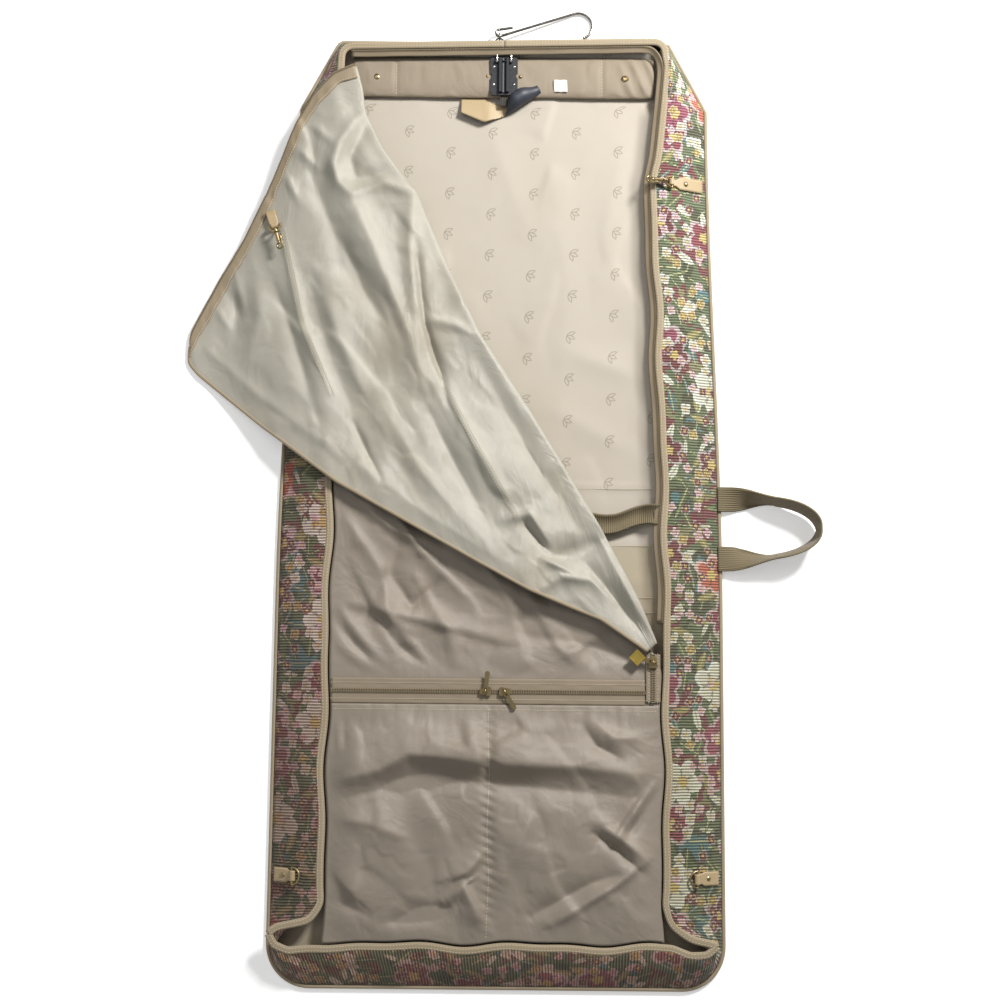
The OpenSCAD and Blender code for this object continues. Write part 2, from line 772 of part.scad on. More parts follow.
module hook_tab_left() {
    l = 15;
    color("#c9b896")
        place_left() {
            tab_loop([0, 0, 0], hook_loop_w);
            translate([-l / 2 - loop_r + 1, 0, -loop_r + tab_thick / 2])
                cube([l, tab_w - 4, tab_thick], center = true);
        }
}

module wall_rivet(y, s, wall) {
    translate(on_wall(y, s, wall, tab_thick + 3 * seat))
        rotate([0, wall_tilt(s, wall), 0])
        dome(3.4, 1.6);
}

module tab_rivets() {
    ring_rivet_s = 0.26;
    color("#b89a5a") {
        wall_rivet(hook_tab_y, 0.42, right_wall);
        wall_rivet(ring_tab_y, ring_rivet_s, right_wall);
        mirror([1, 0, 0])
            wall_rivet(ring_tab_y, ring_rivet_s, left_wall);
    }
}

// D-ring with its straight bar along Y at the origin and its bow towards +X
module d_ring() {
    r = ring_wire / 2;
    color("#c8b27a") {
        rotate([90, 0, 0])
            cylinder(h = 2 * d_ring_r, r = r, center = true);
        rotate([0, 0, -90])
            rotate_extrude(angle = 180)
            translate([d_ring_r, 0])
            circle(r = r);
        for (side = [-1, 1])
            translate([0, side * d_ring_r, 0])
                sphere(r = r);
    }
}

module d_ring_right() {
    translate(ring_bar_right)
        rotate([0, 0.8 * wall_tilt(ring_tab_s, right_wall), 0])
        rotate([0, 0, 180])
        d_ring();
}

module d_ring_left() {
    mirror([1, 0, 0])
        translate(ring_bar_left)
        rotate([0, 0.8 * wall_tilt(ring_tab_s, left_wall), 0])
        rotate([0, 0, 180])
        d_ring();
}

// Snap hook in three pieces: bar along Y at the origin, hook towards +X
bow_half = tab_w / 2 - 0.6;
collar_x = 8.4;
collar_l = 2.4;
collar_r = 3.5;
bow_rise = 4.8;
neck_r = 1.3;
barrel_x = collar_x + collar_l + 0.4;
barrel_len = 14;
barrel_r = 2.4;
eye_r = 3.9;
eye_x = barrel_x + barrel_len + eye_r - 0.6;
bolt_r = 0.85;
eye_roll = 22;

module snap_bow() {
    r = ring_wire / 2;
    color("#c8b27a") {
        rotate([90, 0, 0])
            cylinder(h = 2 * bow_half, r = r, center = true);
        for (side = [-1, 1]) {
            translate([0, side * bow_half, 0])
                sphere(r = r);
            rod([0, side * bow_half, 0], [collar_x + collar_l / 2, side * (collar_r - 0.5), bow_rise], r);
        }
        translate([collar_x, 0, bow_rise])
            rotate([0, 90, 0])
            difference() {
                cylinder(h = collar_l, r = collar_r);
                translate([0, 0, -1])
                    cylinder(h = collar_l + 2, r = neck_r + 0.15);
            }
    }
}

module snap_hook() {
    r = ring_wire / 2;
    gap_from = 62;
    guide_x = barrel_x + 7;
    color("#c8b27a")
        translate([0, 0, bow_rise])
        rotate([eye_roll, 0, 0]) {
            rotate([0, 90, 0])
                rotate_extrude()
                polygon([[0, collar_x - 2], [1.9, collar_x - 2], [1.9, collar_x - 0.5],
                    [neck_r, collar_x - 0.4], [neck_r, barrel_x], [barrel_r, barrel_x + 1],
                    [barrel_r, barrel_x + barrel_len - 3],
                    [1.4, barrel_x + barrel_len], [0, barrel_x + barrel_len]]);
            translate([eye_x, 0, 0])
                rotate([0, 0, -180])
                rotate_extrude(angle = 180 + gap_from)
                translate([eye_r, 0])
                circle(r = r);
            translate([eye_x - eye_r, 0, 0])
                sphere(r = 1.9);
            translate([eye_x + eye_r * cos(gap_from), eye_r * sin(gap_from), 0])
                wire_joint(r, gap_from);
            translate([guide_x, eye_r, 0])
                rotate([0, 90, 0])
                difference() {
                    cylinder(h = 3.4, r = bolt_r + 1);
                    translate([0, 0, -1])
                        cylinder(h = 6, r = bolt_r + running);
                }
        }
}

module snap_bolt() {
    from = barrel_x + 4;
    knob_r = 0.7;
    to = eye_x + eye_r * cos(62) - ring_wire / 2 - seat;
    color("#d8c48e")
        translate([0, 0, bow_rise])
        rotate([eye_roll, 0, 0])
        translate([0, eye_r, 0]) {
            translate([from, 0, 0])
                rotate([0, 90, 0])
                cylinder(h = to - from, r = bolt_r);
            translate([from + knob_r + 0.3, 0, 0])
                rotate([-90, 0, 0])
                cylinder(h = 2, r = knob_r);
        }
}

module place_right() {
    translate(hook_bar_right)
        rotate([0, 0, 176])
        children();
}

module place_left() {
    translate(left_bar)
        rotate([0, -left_tilt, left_turn])
        children();
}

module snap_bow_right() {
    place_right()
        snap_bow();
}

module snap_hook_right() {
    place_right()
        snap_hook();
}

module snap_bolt_right() {
    place_right()
        snap_bolt();
}

module snap_bow_left() {
    place_left()
        snap_bow();
}

module snap_hook_left() {
    place_left()
        snap_hook();
}

module snap_bolt_left() {
    place_left()
        snap_bolt();
}

// Hanging hook: a staple on the top wall, a link ring and the bent wire
staple_x = -6;
staple_r = 5.4;
staple_wire = 1.1;
staple_z = 13;
plate_thick = 1.6;
plate_y = y_top - plate_thick / 2;
link_wire = 1;
link_give = 0.25;
link_fall = 28;
staple_pin = [staple_x, plate_y + staple_r, staple_z];
function down_out(d) = [0, d * cos(link_fall), -d * sin(link_fall)];
link_mid = staple_pin + down_out(link_r - link_wire - staple_wire - link_give);
hook_pin = link_mid + down_out(link_r - link_wire - hook_d / 2 - link_give);
hook_eye_r = 4.4;
hook_pitch = asin((hook_pin.z - hook_d / 2 - seat) / (hook_shank + hook_bend_r));

module hook_staple() {
    color("#8d8d8a") {
        translate([staple_x, plate_y, staple_z])
            rotate_extrude(angle = 180)
            translate([staple_r, 0])
            circle(r = staple_wire);
        translate([staple_x, plate_y, staple_z])
            rotate([90, 0, 0])
            linear_extrude(plate_thick, center = true)
            stadium(2 * staple_r + 8, 6);
    }
}

module hook_link() {
    color("#9a9a97")
        translate(link_mid)
        rotate([0, 90, 0])
        rotate_extrude()
        translate([link_r, 0])
        circle(r = link_wire);
}

// Short swell where two lengths of wire meet
module wire_joint(r, turn) {
    swell = 1.1;
    rotate([0, 0, turn])
        sphere(r = swell * r);
}

module hanging_hook() {
    r = hook_d / 2;
    part_gap = 0.2;
    stub = 18;
    stub_turn = 9;
    bend_turn = 176;
    color("#6f6f6c")
        translate(hook_pin + [0, hook_eye_r, 0])
        rotate([0, hook_pitch, hook_angle]) {
            rotate([0, 0, 90])
                rotate_extrude(angle = 180)
                translate([hook_eye_r, 0])
                circle(r = r);
            for (side = [-1, 1])
                translate([0, side * hook_eye_r, 0])
                    wire_joint(r, 90 * side);
            translate([part_gap, -hook_eye_r, 0])
                rotate([0, 90, 0])
                cylinder(h = hook_shank - part_gap, r = r);
            translate([0, hook_eye_r, 0])
                rotate([0, 90, -stub_turn])
                translate([0, 0, part_gap])
                cylinder(h = stub, r = r);
            translate([hook_shank, -hook_eye_r, 0])
                wire_joint(r, 90);
            translate([hook_shank + part_gap, -hook_eye_r - hook_bend_r, 0])
                rotate([0, 0, 90 - bend_turn]) {
                    rotate_extrude(angle = bend_turn)
                        translate([hook_bend_r, 0])
                        circle(r = r);
                    translate([hook_bend_r, 0, 0])
                        wire_joint(r, 0);
                }
        }
}

// Zip sliders and pulls
slider_l = 14;
slider_w = 11;
slider_plate = 1.5;
bridge_r = 3.6;
bridge_wire = 0.9;
bridge_sink = 0.3;
pull_thick = 1.1;
pull_l = 24;
pull_w = 8;
pull_bar = 0.9;
pull_lift = slider_plate + 1.2;
slider_z = zip_z + coil_thick + seat;

// Slider with its length along X, its plate on z = 0 and its bridge turned by bridge_turn from Y
module zip_slider(bridge_turn) {
    nose = 2.5;
    flank = 1.2;
    shoulder = 2;
    side = [[-slider_l / 2, slider_w / 2 - nose], [0, slider_w / 2 - flank],
        [slider_l / 2 - shoulder, slider_w / 2], [slider_l / 2, slider_w / 2 - shoulder]];
    color("#8c7a4f") {
        linear_extrude(slider_plate)
            polygon(concat(side, [for (i = [len(side) - 1 : -1 : 0]) [side[i].x, -side[i].y]]));
        translate([0, 0, slider_plate - bridge_sink])
            rotate([90, 0, 90 + bridge_turn])
            rotate_extrude(angle = 180)
            translate([bridge_r, 0])
            circle(r = bridge_wire);
    }
}

// Pull laid towards +Y, with the bar that passes under the bridge along X at the origin
module zip_pull(length) {
    head = 3;
    slot = 1.5;
    slot_l = bridge_r + 1.6;
    tip = pull_w / 2 - 1;
    color("#94825a")
        linear_extrude(pull_thick, center = true)
        difference() {
            union() {
                translate([-head, -pull_bar])
                    square([2 * head, slot_l + 2 * pull_bar]);
                polygon([[-head + 1, slot_l], [head - 1, slot_l], [tip, length - tip], [-tip, length - tip]]);
                translate([0, length - tip])
                    circle(r = tip);
            }
            translate([-slot, pull_bar])
                square([2 * slot, slot_l - pull_bar]);
        }
}

left_slider = [-slider_gap / 2 - 3.5, pocket_zip_y, slider_z];
right_slider = [slider_gap / 2 - 3.5, pocket_zip_y, slider_z];
left_pull_turn = -6;
right_pull_turn = -150;
main_pull_turn = 75;
main_pull_l = 20;
main_slider_at = [main_zip_x, main_zip_to - slider_l / 2 - 4, slider_z];

module pocket_slider_left() {
    translate(left_slider)
        zip_slider(left_pull_turn);
}

module pocket_slider_right() {
    translate(right_slider)
        mirror([1, 0, 0])
        zip_slider(-right_pull_turn);
}

module pocket_pull_left() {
    translate(left_slider + [0, 0, pull_lift])
        rotate([0, 0, left_pull_turn])
        zip_pull(pull_l);
}

module pocket_pull_right() {
    translate(right_slider + [0, 0, pull_lift])
        rotate([0, 0, right_pull_turn])
        zip_pull(pull_l);
}

// Main slider at the lower end of the open zip, with its pull and a plain square fob
module main_slider() {
    translate(main_slider_at)
        rotate([0, 0, -90])
        zip_slider(main_pull_turn + 90);
}

module main_pull() {
    translate(main_slider_at + [0, 0, pull_lift])
        rotate([0, 0, main_pull_turn])
        zip_pull(main_pull_l);
}

module pull_fob() {
    size = 14;
    thick = 2;
    rim = 1.6;
    color("#c9a545")
        translate(main_slider_at + [0, 0, pull_lift + pull_thick / 2 + seat / 2])
        rotate([0, 0, main_pull_turn])
        translate([0, main_pull_l + size / 2 - 7, 0])
        rotate([0, 0, -30])
        difference() {
            translate([-size / 2, -size / 2, 0])
                cube([size, size, thick]);
            translate([-size / 2 + rim, -size / 2 + rim, thick / 2])
                cube([size - 2 * rim, size - 2 * rim, thick]);
        }
}

back_panel();
back_lining();
gusset_left();
gusset_right();
gusset_bottom();
gusset_top();
outer_piping();
binding_left();
binding_right();
binding_bottom();
front_cover();
flap_zip_tape();
rim_zip_tape();
pocket_panel();
pocket_zip_tape();
pocket_zip_coil();
main_zip();
header_sleeve();
header_board();
hanger_bracket();
hanger_bail();
bracket_rivets();
side_studs();
header_snaps();
tongue();
bracket_strap();
inner_strap();
carry_handle();
care_tag();
hook_tab_right();
hook_tab_left();
ring_tab_right();
ring_tab_left();
tab_rivets();
d_ring_right();
d_ring_left();
snap_bow_right();
snap_hook_right();
snap_bolt_right();
snap_bow_left();
snap_hook_left();
snap_bolt_left();
hook_staple();
hook_link();
hanging_hook();
pocket_slider_left();
pocket_slider_right();
pocket_pull_left();
pocket_pull_right();
main_slider();
main_pull();
pull_fob();
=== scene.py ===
"""Looks of a folding garment bag that lies open on its back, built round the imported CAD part."""

import logging
import math
from dataclasses import dataclass
from enum import Enum
from typing import Sequence

import bmesh
import bpy
import numpy as np
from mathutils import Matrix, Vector


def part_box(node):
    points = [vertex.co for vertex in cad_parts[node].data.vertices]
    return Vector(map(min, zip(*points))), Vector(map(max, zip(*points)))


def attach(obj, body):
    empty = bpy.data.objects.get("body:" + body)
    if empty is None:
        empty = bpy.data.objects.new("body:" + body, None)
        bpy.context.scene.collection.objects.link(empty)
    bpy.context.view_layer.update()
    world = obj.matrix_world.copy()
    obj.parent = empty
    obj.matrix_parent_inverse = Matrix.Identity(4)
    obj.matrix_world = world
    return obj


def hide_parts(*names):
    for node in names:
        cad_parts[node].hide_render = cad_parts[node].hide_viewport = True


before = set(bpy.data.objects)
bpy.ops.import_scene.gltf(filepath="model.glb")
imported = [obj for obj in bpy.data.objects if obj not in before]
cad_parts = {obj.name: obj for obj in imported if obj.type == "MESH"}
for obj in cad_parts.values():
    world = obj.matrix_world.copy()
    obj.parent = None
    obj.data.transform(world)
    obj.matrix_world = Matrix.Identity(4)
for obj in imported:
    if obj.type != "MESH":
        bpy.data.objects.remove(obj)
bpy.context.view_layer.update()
LOG = logging.getLogger("garment_bag")
MM = 0.001
TAU = 2 * math.pi
BAG = "bag"
THREAD_R = 0.32

Array = np.ndarray
Path = Sequence[tuple[float, ...]]
Piece = bpy.types.Object
Material = bpy.types.Material
Tree = bpy.types.NodeTree
Node = bpy.types.Node
Socket = bpy.types.NodeSocket


class Held(Enum):
    """Ways that a sheet of cloth is held."""

    LAID = "laid"
    FOLDED = "folded"
    STRETCHED = "stretched"
    GATHERED = "gathered"


def mix(a: Array | float, b: Array | float, t: Array | float) -> Array:
    """Returns: Blend of a and b, with t as the share of b."""
    return np.asarray(a + (np.asarray(b) - a) * t)


def ease(t: Array | float) -> Array:
    """Returns: Smooth step of t, clamped to 0..1."""
    c = np.clip(t, 0.0, 1.0)
    return c * c * (3 - 2 * c)


def sind(a: Array | float) -> Array:
    """Returns: Sine of an angle in degrees."""
    return np.sin(np.radians(a))


def run_along(path: Array) -> Array:
    """Returns: Distance along a path at each of its points, from 0 at the first."""
    return np.concatenate([[0], np.cumsum(np.linalg.norm(np.diff(path, axis=0), axis=1))])


def ring_quads(rings: int, points: int, closed: bool = False) -> list[list[int]]:
    """Faces between rings of points, with a cap at each end of an open body.

    Args:
        rings: Number of rings.
        points: Points of each ring.
        closed: Whether the last ring meets the first.
    Returns:
        Lists of point numbers.
    """
    i = np.arange(rings if closed else rings - 1)[:, None]
    j = np.arange(points)[None]
    here, ahead, turn = i * points, (i + 1) % rings * points, (j + 1) % points
    quads = np.stack([here + j, here + turn, ahead + turn, ahead + j], axis=2).reshape(-1, 4).tolist()
    caps = [list(range(points))[::-1], list(range((rings - 1) * points, rings * points))]
    return quads if closed else quads + caps


def polyline(points: Path, n: int, smooth: int = 0) -> Array:
    """Resamples a line through points evenly.

    Args:
        points: Corner points.
        n: Number of samples.
        smooth: Rounds of smoothing between the fixed ends.
    Returns:
        Samples of shape (n, dimensions).
    """
    p = np.asarray(points, float)
    run = run_along(p)
    at = np.linspace(0, run[-1], n)
    out = np.stack([np.interp(at, run, p[:, k]) for k in range(p.shape[1])], axis=1)
    for _ in range(smooth):
        out[1:-1] = 0.25 * out[:-2] + 0.5 * out[1:-1] + 0.25 * out[2:]
    return out


class Noise:
    """Seeded lattice noise for the small unevenness of cloth."""

    def __init__(self, seed: int) -> None:
        """Fills the lattice from a seed."""
        self.table = np.random.default_rng(seed).random((64, 64)) * 2 - 1

    def at(self, x: Array, y: Array) -> Array:
        """Noise between -1 and 1.

        Args:
            x: First coordinate, in lattice steps.
            y: Second coordinate.
        Returns:
            Values of the same shape.
        """
        xi, yi = np.floor(x).astype(int), np.floor(y).astype(int)
        fx, fy = ease(x - xi), ease(y - yi)
        t = self.table
        a = mix(t[xi % 64, yi % 64], t[(xi + 1) % 64, yi % 64], fx)
        b = mix(t[xi % 64, (yi + 1) % 64], t[(xi + 1) % 64, (yi + 1) % 64], fx)
        return mix(a, b, fy)

    def fbm(self, x: Array, y: Array, octaves: int = 3) -> Array:
        """Returns: Noise of several sizes at x and y, in lattice steps."""
        return sum(self.at(x * 2**k + 7 * k, y * 2**k) / 2**k for k in range(octaves))

    def facets(self, x: Array, y: Array, step: float, slope: float) -> Array:
        """Height of crumpled cloth: small planes that meet in creases.

        Args:
            x: First coordinate in millimetres.
            y: Second coordinate.
            step: Size of a plane.
            slope: Steepest tilt of a plane.
        Returns:
            Heights of the same shape.
        """
        gx, gy = x / step, y / step
        xi, yi = np.floor(gx).astype(int), np.floor(gy).astype(int)
        t = self.table
        total, weight = np.zeros(np.shape(gx)), np.zeros(np.shape(gx))
        for i in (-1, 0, 1):
            for j in (-1, 0, 1):
                a, b = (xi + i) % 64, (yi + j) % 64
                dx = gx - xi - i - 0.5 - 0.42 * t[a, b]
                dy = gy - yi - j - 0.5 - 0.42 * t[b, a]
                w = np.exp(-11 * (dx**2 + dy**2))
                tilt = t[(a + 17) % 64, b] * dx + t[a, (b + 29) % 64] * dy
                total, weight = total + w * tilt, weight + w
        return total / weight * step * slope


@dataclass(frozen=True)
class Crease:
    """A soft ridge (or, with a negative height, a valley) of cloth along a line, in millimetres."""

    points: tuple[tuple[float, float], ...]
    height: float
    width: float
    sharp: float = 1.6
    lean: float = 0.0

    def lift(self, x: Array, y: Array) -> Array:
        """Height that the crease adds.

        Args:
            x: Coordinates to the right.
            y: Coordinates up the bag.
        Returns:
            Heights of the same shape.
        """
        best = np.full(np.shape(x), 1e9)
        along = np.zeros(np.shape(x))
        side = np.zeros(np.shape(x))
        count = len(self.points) - 1
        for i in range(count):
            a, b = np.array(self.points[i]), np.array(self.points[i + 1])
            d = b - a
            t = np.clip(((x - a[0]) * d[0] + (y - a[1]) * d[1]) / (d @ d), 0, 1)
            px, py = x - a[0] - t * d[0], y - a[1] - t * d[1]
            dist = np.hypot(px, py)
            near = dist < best
            along = np.where(near, (i + t) / count, along)
            side = np.where(near, np.sign(d[0] * py - d[1] * px), side)
            best = np.where(near, dist, best)
        wide = self.width * (1 + self.lean * side)
        fade = 0.25 + 0.75 * np.sin(math.pi * np.clip(along, 0.02, 0.98)) ** 0.6
        return self.height * fade * np.exp(-((best / wide) ** self.sharp))


@dataclass(frozen=True)
class Pattern:
    """Sizes and outlines of the bag in millimetres, in the CAD part's frame."""

    length: float = 1144.0
    width: float = 526.0
    shoulder: float = 498.0
    top: float = 408.0
    drop: float = 86.0
    foot_round: float = 46.0
    rim: float = 25.0
    right_wall: float = 69.0
    left_wall: float = 62.0
    foot_wall: float = 50.0
    top_wall: float = 9.0
    binding: float = 9.0
    back: float = 2.6
    lining_z: float = 3.5
    wall_foot_z: float = 4.5
    cloth: float = 1.6
    open_from: float = 396.0
    corner: tuple[float, float] = (-389.0, 178.0)
    fold_points: tuple[tuple[float, float], ...] = (
        (-176, 500), (-172, 470), (-164, 453), (-150, 424), (-127, 392), (-106, 367), (-93, 334), (-66, 272),
        (-40, 218), (-30, 196), (35, 97), (83, 18), (119, -42), (162, -124))
    edge_points: tuple[tuple[float, float], ...] = (
        (-383, 160), (-369, 145), (-289, 81), (-196, 13), (-23, -82), (37, -114), (84, -133), (120, -147))
    zip_bulge: tuple[tuple[float, ...], tuple[float, ...]] = (
        (0, 0.05, 0.13, 0.21, 0.3, 0.47, 0.625, 0.77, 0.9, 1), (0, 17, 25, 26, 21, 11, 6, 6, 3, 0))
    pocket_zip_y: float = -233.0
    zip_z: float = 25.2
    corner_x: float = 186.0
    corner_r: float = 13.0

    @property
    def y_top(self) -> float:
        """Returns: Y of the top edge."""
        return self.length / 2

    @property
    def y_foot(self) -> float:
        """Returns: Y of the foot edge."""
        return -self.length / 2

    @property
    def y_open(self) -> float:
        """Returns: Y of the lower end of the open zip."""
        return self.y_foot + self.open_from

    @property
    def cover_edge_z(self) -> float:
        """Returns: Height of the closed cover's edge."""
        return self.rim - self.cloth

    def foot_arc(self, a: Array, out: float = 0.0) -> Array:
        """Returns: Points (n, 2) of the round right foot corner at angles a, a distance outside the back's edge."""
        r = self.foot_round
        return np.stack([self.width / 2 - r + (r + out) * np.cos(a), self.y_foot + r + (r + out) * np.sin(a)], axis=1)

    def half_w(self, y: Array | float) -> Array:
        """Half width of the back.

        Args:
            y: Height up the bag.
        Returns:
            Half width.
        """
        y = np.asarray(y, float)
        shoulder_y = self.y_top - self.drop
        taper_y = self.y_foot + 0.4 * self.length
        low = mix(self.width / 2, self.shoulder / 2, ease((y - taper_y) / (shoulder_y - taper_y)))
        high = mix(self.shoulder / 2, self.top / 2, (y - shoulder_y) / self.drop)
        return np.where(y < shoulder_y, low, high)

    def rim_wave(self, y: Array | float) -> Array:
        """Returns: Sideways waviness of the rim at a distance along it."""
        return 1.6 * (sind(1.9 * np.asarray(y)) + 0.7 * sind(3.3 * np.asarray(y) + 70))

    def rim_x(self, y: Array | float, wall: float) -> Array:
        """Distance of the rim's inner edge from the middle.

        Args:
            y: Height up the bag.
            wall: Width of that side's wall.
        Returns:
            Distance.
        """
        y = np.asarray(y, float)
        narrow = self.y_top - 2 * self.drop
        share = np.clip((y - narrow) / (self.y_top - narrow), 0, 1) ** 1.5
        return self.half_w(y) - mix(wall, self.top_wall, share) + self.rim_wave(y)

    def rim_mid(self, y: Array, sign: int) -> Array:
        """Middle of a side's binding, which runs straight up to the top corner on the right.

        Args:
            y: Heights up the bag.
            sign: 1 for the right side, -1 for the left.
        Returns:
            Distances from the middle.
        """
        x = self.rim_x(y, self.right_wall if sign > 0 else self.left_wall) + self.binding / 2
        if sign > 0:
            seen = np.interp(y, (391, 409, 494, 538, 552, 572), (187, 190, 199, 203, 200, 199))
            x = mix(x, seen, ease((y - 385) / 45))
        return x

    def top_rim_y(self, x: Array | float) -> Array:
        """Returns: Y of the top edge's binding at x, a little out of square."""
        return self.y_top - 7.5 + 0.024 * np.asarray(x)

    def foot_rim_y(self, x: Array | float) -> Array:
        """Returns: Y of the foot wall's rim at x."""
        return self.y_foot + self.foot_wall + 1.2 * self.rim_wave(1.3 * np.asarray(x))

    def wall_z(self, s: Array | float) -> Array:
        """Returns: Height of a wall at s, 0 at its foot and 1 at the rim."""
        return mix(self.wall_foot_z, self.rim, np.sin(np.asarray(s) * math.pi / 2))

    def cover_left(self, y: Array | float) -> Array:
        """Returns: X of the closed cover's left edge at y."""
        return -self.rim_x(y, self.left_wall) + 1.5

    def cover_right(self, y: Array | float) -> Array:
        """Returns: X of the closed cover's right edge at y."""
        return self.rim_x(y, self.right_wall) - 1.5

    def cover_z(self, x: Array, y: Array) -> Array:
        """Height of the sagging closed cover.

        Args:
            x: Position across.
            y: Height up the bag.
        Returns:
            Height of its upper face.
        """
        across = 1 - np.clip(np.abs(x) / (self.half_w(y) - self.left_wall), 0, 1) ** 2
        off = ease(np.abs(y - self.pocket_zip_y) / 130)
        return self.cover_edge_z - 0.6 - 6 * across * off

    @property
    def fold_a(self) -> Array:
        """Returns: Upper end of the cover's fold."""
        y = self.y_top - 44
        return np.array([-float(self.rim_x(y, self.left_wall)) + 14, y])

    @property
    def fold_b(self) -> Array:
        """Returns: Lower end of the cover's fold."""
        return np.array([float(self.rim_x(self.y_open, self.right_wall)) - 10, self.y_open])

    @property
    def fold_out(self) -> Array:
        """Returns: Direction across the fold, away from the cover."""
        a, b = self.fold_a, self.fold_b
        d = np.array([a[1] - b[1], b[0] - a[0]])
        return d / np.linalg.norm(d)

    def fold_xy(self, u: Array) -> Array:
        """Line of the cover's fold.

        Args:
            u: 0 at its upper and 1 at its lower end.
        Returns:
            Points of shape (n, 2).
        """
        line = polyline([tuple(self.fold_a), *self.fold_points, tuple(self.fold_b)], 300, 2)
        at = np.linspace(0, 1, 300)
        return np.stack([np.interp(u, at, line[:, k]) for k in (0, 1)], axis=1)

    def flap_xy(self, u: Array, v: Array) -> Array:
        """Turned-back part of the cover.

        Args:
            u: Position along the fold.
            v: 0 at the fold and 1 at the free edge.
        Returns:
            Points of shape (len(u), len(v), 2).
        """
        c = np.array(self.corner)
        edge_b = self.fold_b - np.array([9, 8])
        line = polyline([self.corner, *self.edge_points, tuple(edge_b)], 300, 2)
        long = np.stack([np.interp(u, np.linspace(0, 1, 300), line[:, k]) for k in (0, 1)], axis=1)
        z = np.array([self.fold_a[1] - c[1], c[0] - self.fold_a[0]])
        bulge = z / np.linalg.norm(z) * -np.interp(v, *self.zip_bulge)[:, None]
        base = self.fold_xy(u)[:, None] * (1 - v)[None, :, None] + long[:, None] * v[None, :, None]
        return base + bulge[None] * ((1 - u) ** 4)[:, None, None]


PATTERN = Pattern()


@dataclass
class Shell:
    """A sheet of cloth as two grids of points in millimetres, with its flat coordinates."""

    outer: Array
    inner: Array
    uv: Array
    open_last_row_from: int = 0
    open_first_row: bool = False

    @staticmethod
    def of(mid: Array, thick: float, uv: Array | None = None) -> "Shell":
        """Thickens a grid evenly to both sides.

        Args:
            mid: Grid of shape (rows, columns, 3); rows run down the bag and columns to the right.
            thick: Thickness.
            uv: Flat coordinates, or None to measure them along the grid.
        Returns:
            The shell, its outer face on the left of rows x columns.
        """
        down = np.gradient(mid, axis=0)
        right = np.gradient(mid, axis=1)
        n = np.cross(down, right)
        n /= np.maximum(np.linalg.norm(n, axis=2, keepdims=True), 1e-9)
        if uv is None:
            du = np.linalg.norm(np.diff(mid, axis=1), axis=2)
            dv = np.linalg.norm(np.diff(mid, axis=0), axis=2)
            u = np.concatenate([np.zeros((mid.shape[0], 1)), np.cumsum(du, axis=1)], axis=1)
            v = np.concatenate([np.zeros((1, mid.shape[1])), np.cumsum(dv, axis=0)], axis=0)
            uv = np.stack([u - u.mean(), v - v.mean()], axis=2)
        return Shell(mid + n * thick / 2, mid - n * thick / 2, uv)


